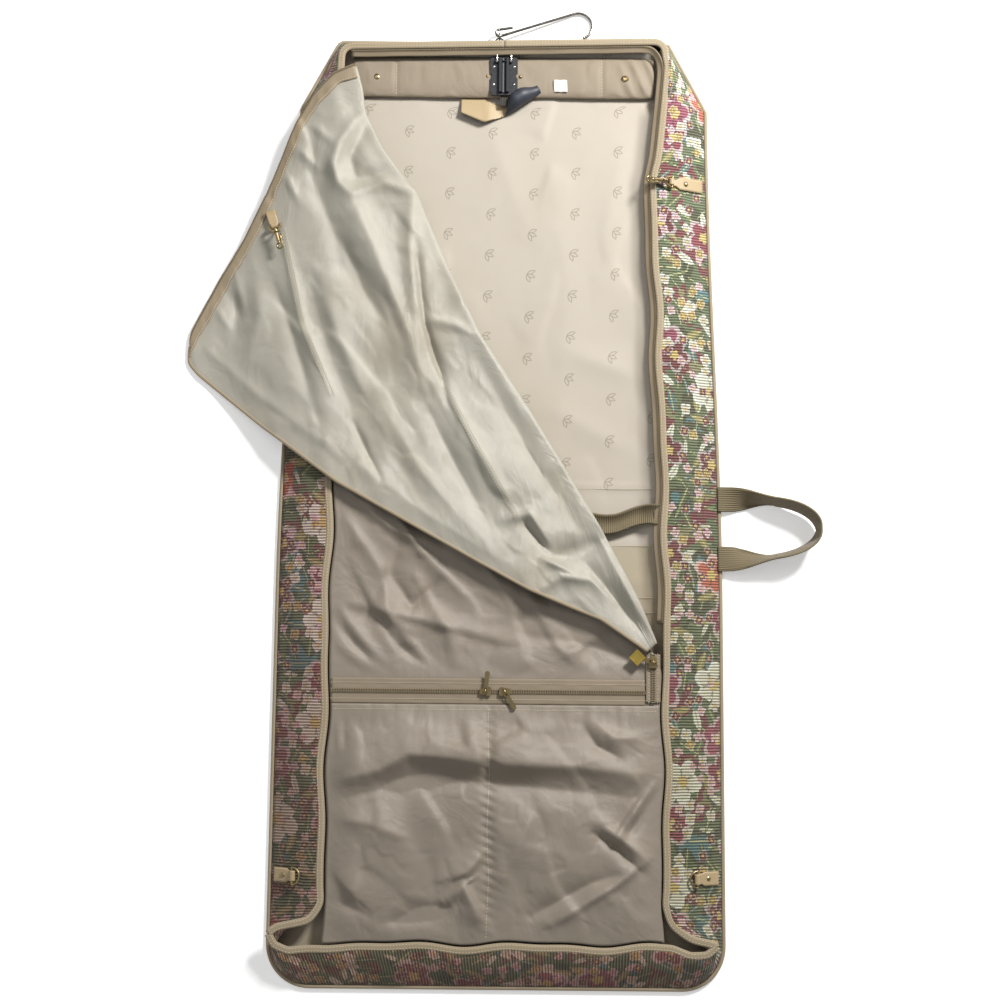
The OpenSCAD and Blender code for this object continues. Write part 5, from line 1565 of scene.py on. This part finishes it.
@dataclass
class Pocket:
    """Gathered pocket on the lower cover with its zip, and the closed end of the main zip."""

    puff: float = 9.0
    full: float = 16.0
    fold_share: float = 1.95
    flat_w: float = 430.0
    rows: int = 130
    cols: int = 170
    folds: tuple[Crease, ...] = (
        Crease(((-204, -340), (-141, -325), (-104, -305), (-12, -310), (43, -316), (98, -318), (171, -328)),
               7.5, 22, 1.5, 0.45),
        Crease(((-200, -365), (-120, -342), (-60, -334), (60, -344), (160, -354)), -4.0, 14, 1.5),
        Crease(((-190, -250), (-187, -299)), 3.6, 4, 1.3, 0.5),
        Crease(((-182, -250), (-179, -299)), -3.0, 5, 1.3),
        Crease(((197, -321), (165, -360), (138, -399)), 5.0, 6, 1.3, 0.5),
        Crease(((190, -345), (150, -400)), -4.6, 7, 1.3),
        Crease(((112, -395), (140, -412), (168, -440)), -4.6, 6, 1.3),
        Crease(((118, -384), (150, -404), (180, -430)), 3.6, 8, 1.4),
        Crease(((100, -270), (115, -295), (145, -310)), -4.0, 8, 1.4),
        Crease(((112, -268), (135, -285), (165, -285)), 3.0, 8, 1.4),
        Crease(((-53, -447), (-35, -440), (-16, -420)), 4.2, 9, 1.4, 0.4),
        Crease(((-215, -415), (-190, -440), (-160, -470)), 4.0, 10, 1.4, 0.4),
        Crease(((-220, -440), (-195, -470), (-150, -490)), -4.0, 10, 1.4),
        Crease(((-60, -474), (-38, -455), (-24, -480), (-14, -499)), 4.4, 8, 1.4, -0.4),
        Crease(((-130, -500), (-70, -488), (-50, -478)), -3.6, 9, 1.4),
        Crease(((64, -499), (134, -455), (188, -415)), 4.2, 9, 1.4, 0.4),
        Crease(((40, -490), (110, -452), (150, -440)), -3.4, 9, 1.4),
        Crease(((2, -455), (24, -410), (43, -369)), 3.4, 12, 1.4),
        Crease(((-210, -380), (-150, -385), (-110, -400)), 2.6, 12, 1.5),
        Crease(((-120, -270), (-60, -280)), 2.0, 14, 1.5),
        Crease(((30, -275), (80, -268)), 2.0, 12, 1.5))

    def __post_init__(self) -> None:
        """Seeds the small unevenness."""
        self.noise = Noise(41)

    @property
    def top_y(self) -> float:
        """Returns: Y of the pocket's upper edge."""
        return PATTERN.pocket_zip_y - 15.3

    def build(self) -> None:
        """Builds and dresses the pocket and the zips."""
        p = PATTERN
        t = np.linspace(0, 1, self.rows)[:, None]
        s = np.linspace(0, 1, self.cols)[None]
        y0 = mix(self.top_y, p.y_foot + p.foot_wall, t)
        x = mix(p.cover_left(y0) + 1.5, p.cover_right(y0) - 1.5, s)
        y = mix(self.top_y, p.foot_rim_y(x) + 2.6, t)
        down = np.clip((self.top_y - y) / (self.top_y - p.y_foot - p.foot_wall), 0, 1)
        seam_x = -10.5 + 1.0 * sind(y * 3)
        off = x - seam_x
        seam = 1 - 0.35 * np.exp(-((off / 9) ** 2))
        side = ease((x - p.cover_left(y)) / 40) * ease((p.cover_right(y) - x) / 40)
        body = np.sin(math.pi * down) ** 0.7
        zigzag = off - 2.2 * np.sign(np.sin(y * TAU / 11)) * np.exp(-np.abs(off) / 9)
        pucker = 1.1 * np.exp(-np.abs(zigzag) / 6) * np.cos(y * TAU / 11 + 0.25 * off) * body
        gather = 1.0 * np.exp(-down * 12) * self.noise.fbm(x / 9, y / 60, 2)
        fine = self.fold_share * sum(c.lift(x, y) for c in self.folds)
        fine = fine + self.noise.facets(x, y * 0.8 + 0.4 * x, 52, 0.12)
        fine = fine + self.noise.facets(x + 40, y, 20, 0.05)
        z = self.puff * body * seam * (0.8 + 0.2 * sind(1.4 * x + 0.9 * y))
        z = z + fine * seam * ease(down * 6) * ease((1 - down) * 8)
        z = np.where(z > self.full, self.full + 6 * np.tanh((z - self.full) / 6), z)
        z = p.rim + 0.3 + np.maximum(side * (z + pucker) + gather * side, -0.2)
        grid = np.stack([x, y, z], axis=2)
        shell = Shell.of(grid, p.cloth - 0.1)
        panel = dress(Maker.cloth("pocket_cloth", [shell], [M.taupe]), "pocket_cloth", "pocket_panel")
        line = np.abs(off).argmin(axis=1)
        row = np.arange(self.rows)
        mid = shell.outer[row, line]
        mid[:, 0] = seam_x[row, line]
        stitch = dress(Maker.stitches("pocket_stitch", mid[3:-3], 0.2, [M.thread], 4.0), "pocket_cloth")
        hem = dress(Maker.stitches("pocket_hem_stitch", shell.outer[3, 2:-2], 0.2, [M.thread], 3.6), "pocket_cloth")
        self.zips()

    def zips(self) -> None:
        """Builds the pocket's zip and the closed end of the main zip."""
        p = PATTERN
        for name, nodes, a, b, half in (
                ("pocket_zip", ("pocket_zip_tape", "pocket_zip_coil"), (-196.3, p.pocket_zip_y),
                 (172.3, p.pocket_zip_y), 15.0),
                ("main_zip", ("main_zip",), (182.3, -188.0), (182.3, -244.0), 8.5)):
            n = 150 if name == "pocket_zip" else 40
            line = polyline([a, b], n)
            path = np.c_[line, np.full(n, p.zip_z - 0.45)]
            _, side, _ = Maker.frames(path)
            w = np.linspace(-half, half, 15)
            wave = 0.35 * self.noise.at(np.arange(n)[:, None] / 6.0, w[None] / 9)
            grid = path[:, None] + side[:, None] * w[None, :, None]
            grid[:, :, 2] += wave * (np.abs(w) > 6)[None]
            if name == "pocket_zip":
                grid = grid.transpose(1, 0, 2)[::-1]
            tape = dress(Maker.cloth(name + "_strip", [Shell.of(grid, 0.9)], [M.dull_tape]), "zip_tape", nodes[0])
            coils = [dress(Maker.teeth(f"{name}_coil_{k}", path, 1.3, [M.coil], 2.0, 1.9, shift, lean), "zip_coil")
                     for k, shift, lean in (("a", -1.3, 0.3), ("b", 1.3, -0.3))]
            if len(nodes) > 1:
                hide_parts(nodes[1])
            rows = [dress(Maker.stitches(f"{name}_stitch_{k}", path, 0.75, [M.thread], 3.4, shift), "zip_tape")
                    for k, shift in (("a", -0.62 * half), ("b", 0.62 * half))]


@dataclass
class Header:
    """Padded header sleeve, the rim's zip half, the two-faced tongue, the strap end and the blank tag."""

    y: float = 527.0
    half: float = 187.0
    foot_z: float = 3.8
    thick: float = 9.0
    deep: float = 52.0
    bracket: float = 50.0
    stitch_x: tuple[float, float] = (-134.0, 122.0)

    def crest(self, y: Array) -> Array:
        """Returns: Height of the sleeve's upper face at y."""
        c = np.clip(np.abs(np.asarray(y) - self.y) / (self.deep / 2), 0, 1) ** (1 / 0.6)
        return self.foot_z + self.thick / 2 * (1 + (1 - c**2) ** 0.45)

    def build(self) -> None:
        """Builds and dresses all pieces of the header."""
        self.sleeve()
        self.rim_zip()
        self.tongue()
        self.strap_end()
        self.tag()

    def sleeve(self) -> None:
        """Builds the sleeve with its pinched cross stitches and crumpled right end."""
        noise = Noise(61)
        n, m = 190, 44
        x = np.linspace(-self.half, self.half, n)[:, None]
        a = (np.arange(m) * TAU / m)[None]
        cy = np.sign(np.cos(a)) * np.abs(np.cos(a)) ** 0.6 * self.deep / 2
        cz = np.sign(np.sin(a)) * np.abs(np.sin(a)) ** 0.9 * self.thick / 2
        swell = np.ones_like(x)
        for at in self.stitch_x:
            swell = swell - 0.2 * np.exp(-(((x - at) / 3.2) ** 2))
        end = ease((np.abs(x) - self.half + 14) / 14)
        crumple = ease((x - 135) / 30) * np.cos((x * 0.8 + cy * 0.35) * 0.42) * 1.5
        top = np.maximum(np.sin(a), 0)
        z = self.foot_z + self.thick / 2 + cz * swell * (1 - 0.25 * end)
        uneven = 0.45 * noise.fbm(x / 34, cy / 30 + 0 * x, 3) + noise.facets(x / 1.6 + 0 * cy, cy + 0 * x, 21, 0.05)
        z = z + top * (uneven + np.maximum(crumple, -0.6) + 0.3 * swell)
        y = self.y + cy * (1 - 0.04 * end) + 0.6 * noise.at(x / 40, 0 * x) * np.sign(cy)
        ring = np.stack([np.repeat(x, m, 1), y, z], axis=2)
        sleeve = dress(loft("sleeve_cloth", ring, [M.header]), "lining", "header_sleeve")
        for k, at in enumerate(self.stitch_x):
            ys = np.linspace(self.y + 22, self.y - 22, 30)
            path = np.stack([np.full(30, at), ys, self.crest(ys) - 0.7], axis=1)
            dress(Maker.stitches(f"sleeve_stitch_{k}", path, 0.2, [M.thread], 3.6), "lining")

    def rim_zip(self) -> None:
        """Builds the zip half along the right and the top rim."""
        p = PATTERN
        turn = float(p.top_rim_y(p.corner_x)) - 22
        ys = np.linspace(p.y_open + 26, turn, 150)
        right = p.rim_mid(ys, 1) - 4
        xs = np.linspace(right[-1] - 12, float(p.cover_left(turn)) + 6, 90)
        side = np.stack([right, ys, np.full_like(ys, p.rim - 1.4)], axis=1)
        top = np.stack([xs, p.top_rim_y(xs) - 4, np.full_like(xs, p.rim - 1.2)], axis=1)
        inner_side = side + np.array([-8, 0, -5])
        inner_top = top + np.array([0, -8, -5])
        a = polyline(np.concatenate([side, top]), 260, 6)
        b = polyline(np.concatenate([inner_side, inner_top]), 260, 6)
        w = np.linspace(0, 1, 7)
        grid = a[:, None] * (1 - w)[None, :, None] + b[:, None] * w[None, :, None]
        grid[:, :, 2] += 0.4 * sind(np.arange(260) * 21.0)[:, None] * w[None]
        tape = dress(Maker.cloth("rim_tape", [Shell.of(grid, 0.9)], [M.tape]), "zip_tape", "rim_zip_tape")
        coil = dress(Maker.teeth("rim_teeth", grid[:, 1], 0.9, [M.coil], 2.0, 1.7), "zip_coil")

    def tongue(self) -> None:
        """Builds the vinyl tongue, pale on one face and dark on the other."""
        n, curl, flat = 70, 16, 10
        t = np.linspace(0, 1, n)
        edge = polyline([(-53, 480), (-24, 467.5), (-6, 475), (18, 487), (46, 507)], n, 5)
        lean = ease((t - 0.3) / 0.25)
        out = np.stack([-0.5 * lean, 1 - 0.14 * lean], axis=1)
        r = mix(0.3, 9.5, ease((t - 0.48) / 0.24)) * (1 - 0.45 * ease((t - 0.78) / 0.22))
        most = math.radians(235) * ease((t - 0.4) / 0.24)
        turn = most[:, None] * np.linspace(1, 0, curl)[None]
        far = np.interp(t, [0, 0.28, 0.42, 0.6, 1], [20, 32.5, 23, 10, 3])
        run = np.linspace(0, 1, flat + 1)[None, 1:]
        across = np.concatenate([r[:, None] * (1 - np.sin(turn)), r[:, None] + far[:, None] * run], axis=1)
        z = np.concatenate([r[:, None] * (1 - np.cos(turn)), np.zeros((n, flat))], axis=1)
        high = mix(8.5, 1.6, ease((t - 0.3) / 0.22))[:, None]
        base = np.concatenate([np.repeat(high, curl, 1), mix(high, 1.8, run)], axis=1)
        grid = np.zeros((n, curl + flat, 3))
        grid[:, :, :2] = edge[:, None] + out[:, None] * across[:, :, None]
        grid[:, :, 2] = PATTERN.lining_z + z + base
        shell = Shell.of(grid.transpose(1, 0, 2)[::-1], 1.4)
        tongue = dress(Maker.cloth("tongue_band", [shell], [M.vinyl, M.navy]), "vinyl", "tongue")
        path = shell.outer[2, 2:34]
        row = dress(Maker.stitches("tongue_stitch", path, 0.1, [M.thread], 3.2), "vinyl")

    def strap_end(self) -> None:
        """Builds the short dark strap below the bracket."""
        y0 = self.y - self.bracket / 2 - 0.6
        t = np.linspace(0, 1, 14)
        grid = np.zeros((14, 8, 3))
        grid[:, :, 0] = np.linspace(-5, 5, 8)[None]
        grid[:, :, 1] = (y0 - 12.4 * t)[:, None]
        grid[:, :, 2] = (self.foot_z + self.thick - 1.2 + 0.3 * sind(180 * t))[:, None]
        strap = dress(Maker.cloth("strap_end", [Shell.of(grid, 1.5)], [M.black_web]), "strap", "bracket_strap")

    def tag(self) -> None:
        """Builds the blank care tag."""
        y0 = self.y - self.deep / 2 + 22
        t = np.linspace(0, 1, 16)
        grid = np.zeros((16, 14, 3))
        grid[:, :, 0] = 70 + np.linspace(-8.4, 8.4, 14)[None] + (0.8 * t)[:, None]
        grid[:, :, 1] = (y0 - 15.6 * t)[:, None]
        curl = 0.5 + 1.3 * np.clip(t - 0.4, 0, 1)[:, None] ** 2 * (1 + np.linspace(-0.6, 0.8, 14)[None])
        ripple = 0.5 * sind(40 * grid[:, :, 0] + 300 * t[:, None])
        grid[:, :, 2] = self.crest(y0 - 15.6 * t)[:, None] + 0.5 + curl + ripple
        tag = dress(Maker.cloth("blank_tag", [Shell.of(grid, 0.5)], [M.tag]), "tag_cloth", "care_tag")


@dataclass
class Webbing:
    """Woven carry handle and the inner strap."""

    wide: float = 30.0
    thick: float = 2.2
    reach: float = 122.0
    span: float = 72.0

    def build(self) -> None:
        """Builds and dresses both straps."""
        self.handle()
        self.strap()

    def handle(self) -> None:
        """Builds the loop of webbing on the right edge."""
        p = PATTERN
        y0 = p.y_foot + 0.468 * p.length
        inner = float(p.half_w(y0)) + 0.3
        t = np.linspace(0, 1, 150)
        out = sind(180 * t)
        z = mix(6.4, self.wide / 2 + 3.2, ease(1.5 * out))
        mid = np.stack([inner + (self.reach - self.thick) * np.maximum(out, 0) ** 0.62,
                        y0 + self.span / 2 * np.cos(math.pi * t), z], axis=1)
        mid = polyline(mid, 150, 2)
        turn = 78 * ease(1.35 * out)
        way = np.where(t < 0.5, 1.0, -1.0)
        across = self.wide / 2 * np.stack([0 * t, np.cos(np.radians(turn)) * way, sind(turn)], axis=1)
        w = np.linspace(-1, 1, 14)
        grid = mid[:, None] + across[:, None] * w[None, :, None]
        grid[:, :, 2] = np.maximum(grid[:, :, 2], 1.4)
        shell = Shell.of(grid, self.thick)
        handle = dress(Maker.cloth("handle_webbing", [shell], [M.webbing]), "webbing", "carry_handle")

    def strap(self) -> None:
        """Builds the strap across the inside."""
        p = PATTERN
        y0 = p.y_foot + 0.48 * p.length
        right = float(p.rim_x(y0, p.right_wall)) + 14
        left = 0.366 * float(p.half_w(y0))
        t = np.linspace(0, 1, 60)
        x = mix(right, left, t)
        rise = p.lining_z + self.thick / 2 + 1.6 + 3 * sind(180 * t) + Back.climb(x, np.full_like(x, y0))
        y = y0 + 3 - 11 * ease((right - x - 20) / 50) + 2 * sind(5 * x)
        w = np.linspace(-1, 1, 14)
        grid = np.zeros((14, 60, 3))
        grid[:, :, 0] = x[None, ::-1]
        cup = (0.3 + 0.5 * sind(180 * t))[None]
        grid[:, :, 1] = y[None, ::-1] - self.wide / 2 * w[:, None] * (1 - 0.35 * cup)
        grid[:, :, 2] = rise[None, ::-1] + 8 * (w**2)[:, None] * cup
        shell = Shell.of(grid, self.thick)
        strap = dress(Maker.cloth("strap_webbing", [shell], [M.webbing]), "webbing", "inner_strap")


@dataclass
class Tabs:
    """Vinyl tabs that turn round the bars of the hooks and rings."""

    wide: float = 16.0
    thick: float = 1.5
    bar_r: float = 1.5

    def build(self) -> None:
        """Builds and dresses the four tabs."""
        p = PATTERN
        hook_y, ring_y = p.y_top - 184, p.y_foot + 125
        self.on_wall("hook_tab_right", hook_y, 0.72, 8.0, p.right_wall, 1)
        self.on_wall("ring_tab_right", ring_y, 0.5, 12.0, p.right_wall, 1)
        self.on_wall("ring_tab_left", ring_y, 0.5, 12.0, p.left_wall, -1)
        lo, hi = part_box("hook_tab_left")
        turn = math.radians(-72)
        along = np.array([math.cos(turn), math.sin(turn)])
        bar = np.array([-278.713, 328.488, 25.656])
        path = [(-21.0, -3.6), (-12.0, -3.6), (-6.0, -3.5)] + self.loop(-100, 190)
        flat = np.array(path)
        line = np.c_[bar[:2] + flat[:, :1] * along, bar[2] + flat[:, 1]]
        wide = np.where(flat[:, 0] < -5, 12.0, 8.0)
        self.strip("hook_tab_left", line, np.array([-along[1], along[0], 0]), wide)
        LOG.info("left tab box %s %s", tuple(lo), tuple(hi))

    def loop(self, start: float, end: float) -> list[tuple[float, float]]:
        """Turn round a bar at the origin.

        Args:
            start: First angle.
            end: Last angle.
        Returns:
            Points along and up.
        """
        r = self.bar_r + 0.15 + self.thick / 2
        return [(r * math.cos(math.radians(a)), r * math.sin(math.radians(a))) for a in np.linspace(start, end, 22)]

    def on_wall(self, node: str, y: float, s: float, loop_wide: float, wall: float, sign: int) -> None:
        """Builds a tab that lies on a side wall.

        Args:
            node: CAD node that it stands for.
            y: Height up the bag.
            s: Place of the bar on the wall, 0 at its foot.
            loop_wide: Width round the bar.
            wall: Width of that side's wall.
            sign: 1 on the right and -1 on the left.
        """
        p = PATTERN
        share = np.array([s, *np.linspace(0.06, s - 0.1, 8)])
        out, up = mix(p.half_w(y), p.rim_x(y, wall) + p.binding + 0.3, share), p.wall_z(share)
        bar = (out[0], up[0] + 5.0)
        base = [(a, b + 1.9) for a, b in zip(out[1:], up[1:])]
        ring = [(bar[0] - a, bar[1] + b) for a, b in self.loop(-100, 190)]
        flat = np.array(base + ring)
        line = np.stack([sign * flat[:, 0], np.full(len(flat), y), flat[:, 1]], axis=1)
        wide = np.where(np.arange(len(flat)) < 7, self.wide, loop_wide)
        self.strip(node, line, np.array([0, 1.0, 0]), wide)

    def strip(self, node: str, line: Array, side: Array, wide: Array) -> None:
        """Sweeps a strip of vinyl.

        Args:
            node: CAD node that it stands for.
            line: Points of shape (n, 3).
            side: Direction across.
            wide: Width at each point.
        """
        w = np.linspace(-0.5, 0.5, 8)
        grid = line[:, None] + side[None, None] * (wide[:, None] * w[None])[:, :, None]
        tab = dress(Maker.cloth(node + "_vinyl", [Shell.of(grid, self.thick)], [M.vinyl]), "vinyl", node)


def loft(name: str, ring: Array, mats: Sequence) -> Piece:
    """Joins rings of points into a closed body.

    Args:
        name: Name of the object.
        ring: Points of shape (rings, points, 3).
        mats: Materials.
    Returns:
        The object.
    """
    n, m = ring.shape[:2]
    along = np.repeat(np.linspace(0, np.linalg.norm(ring[-1, 0] - ring[0, 0]), n), m)
    turn = np.tile(np.arange(m) * 2.6, n)
    uv = np.stack([along, turn], axis=1)
    return Maker.mesh(name, ring.reshape(-1, 3), ring_quads(n, m), uv, mats, None)


@dataclass
class Hardware:
    """Finishes of the hard CAD nodes."""

    bevel: float = 0.22

    def build(self) -> None:
        """Gives each hard node its finish and soft edges."""
        both = ("right", "left")
        plan = [(M.bracket, "bracket_plastic", ["hanger_bracket"]),
                (M.board, "board", ["header_board"]),
                (M.chrome, "bright_wire", ["hanger_bail", "bracket_rivets"]),
                (M.steel, "dark_wire", ["hook_staple", "hook_link", "hanging_hook"]),
                (M.gold, "brass", ["pull_fob"]),
                (M.brass, "brass", ["side_studs", "header_snaps", "tab_rivets", "main_slider", "main_pull"]
                 + [f"{part}_{side}" for part in ("d_ring", "snap_bow", "snap_hook", "snap_bolt", "pocket_slider",
                                                  "pocket_pull") for side in both])]
        for mat, slot, names in plan:
            for name in names:
                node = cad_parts[name]
                node.data.materials.clear()
                node.data.materials.append(mat)
                edge = node.modifiers.new("edge", "BEVEL")
                edge.width = self.bevel * MM
                edge.segments = 2
                edge.limit_method = "ANGLE"
                edge.angle_limit = math.radians(35)
                LOG.info("finished %s", name)


@dataclass
class Studio:
    """Floor, light and camera."""

    distance: float = 1.8
    tilt: float = 7.0
    roll: float = 0.544
    lens: float = 53.5
    aim_y: float = -0.003

    def build(self) -> None:
        """Builds the stage."""
        self.floor()
        for name, at, size, power, tint in (
                ("key", (0.95, 1.2, 1.3), 0.4, 57, (1.0, 0.985, 0.965)),
                ("top", (-0.6, 0.9, 2.2), 1.4, 7, (1.0, 0.99, 0.97)),
                ("fill", (-1.6, -1.0, 1.6), 1.6, 5, (0.94, 0.97, 1.0))):
            self.lamp(name, Vector(at), size, power, tint)
        world = bpy.data.worlds.new("studio")
        world.use_nodes = True
        back = world.node_tree.nodes["Background"]
        back.inputs["Color"].default_value = (1, 1, 1, 1)
        back.inputs["Strength"].default_value = 0.25
        bpy.context.scene.world = world
        bpy.context.scene.view_settings.view_transform = "Standard"
        self.camera()

    def floor(self) -> None:
        """Builds the plain white floor."""
        bpy.ops.mesh.primitive_plane_add(size=12, location=(0, 0, -0.0005))
        plane = bpy.context.object
        plane.name = "floor"
        mat = bpy.data.materials.new("floor_white")
        mat.use_nodes = True
        shade = mat.node_tree.nodes["Principled BSDF"]
        shade.inputs["Base Color"].default_value = (0.97, 0.97, 0.97, 1)
        shade.inputs["Roughness"].default_value = 0.9
        shade.inputs["Emission Color"].default_value = (1, 1, 1, 1)
        shade.inputs["Emission Strength"].default_value = 0.3
        plane.data.materials.append(mat)

    @staticmethod
    def lamp(name: str, at: Vector, size: float, power: float, tint: tuple[float, float, float]) -> None:
        """Adds a soft light aimed at the bag.

        Args:
            name: Name of the light.
            at: Place in metres.
            size: Width in metres.
            power: Watts.
            tint: Colour.
        """
        data = bpy.data.lights.new(name, "AREA")
        data.size = size
        data.energy = power
        data.color = tint
        lamp = bpy.data.objects.new(name, data)
        lamp.location = at
        lamp.rotation_euler = (-at).to_track_quat("-Z", "Y").to_euler()
        bpy.context.scene.collection.objects.link(lamp)

    def camera(self) -> None:
        """Places the camera nearly straight above."""
        data = bpy.data.cameras.new("camera")
        data.lens = self.lens
        data.sensor_width = 36
        cam = bpy.data.objects.new("camera", data)
        a = math.radians(self.tilt)
        cam.location = (0, self.aim_y - self.distance * math.sin(a), self.distance * math.cos(a))
        cam.rotation_euler = (a, 0, 0)
        cam.rotation_euler.rotate_axis("Z", math.radians(self.roll))
        bpy.context.scene.collection.objects.link(cam)
        bpy.context.scene.camera = cam


def main() -> None:
    """Builds the bag piece by piece."""
    logging.basicConfig(level=logging.INFO, format="%(message)s")
    for part in (Back(), Walls(), Cover(), Pocket(), Header(), Webbing(), Tabs(), Hardware(), Studio()):
        LOG.info("%s", type(part).__name__)
        part.build()
    bpy.context.view_layer.update()


if __name__ == "__main__":
    main()
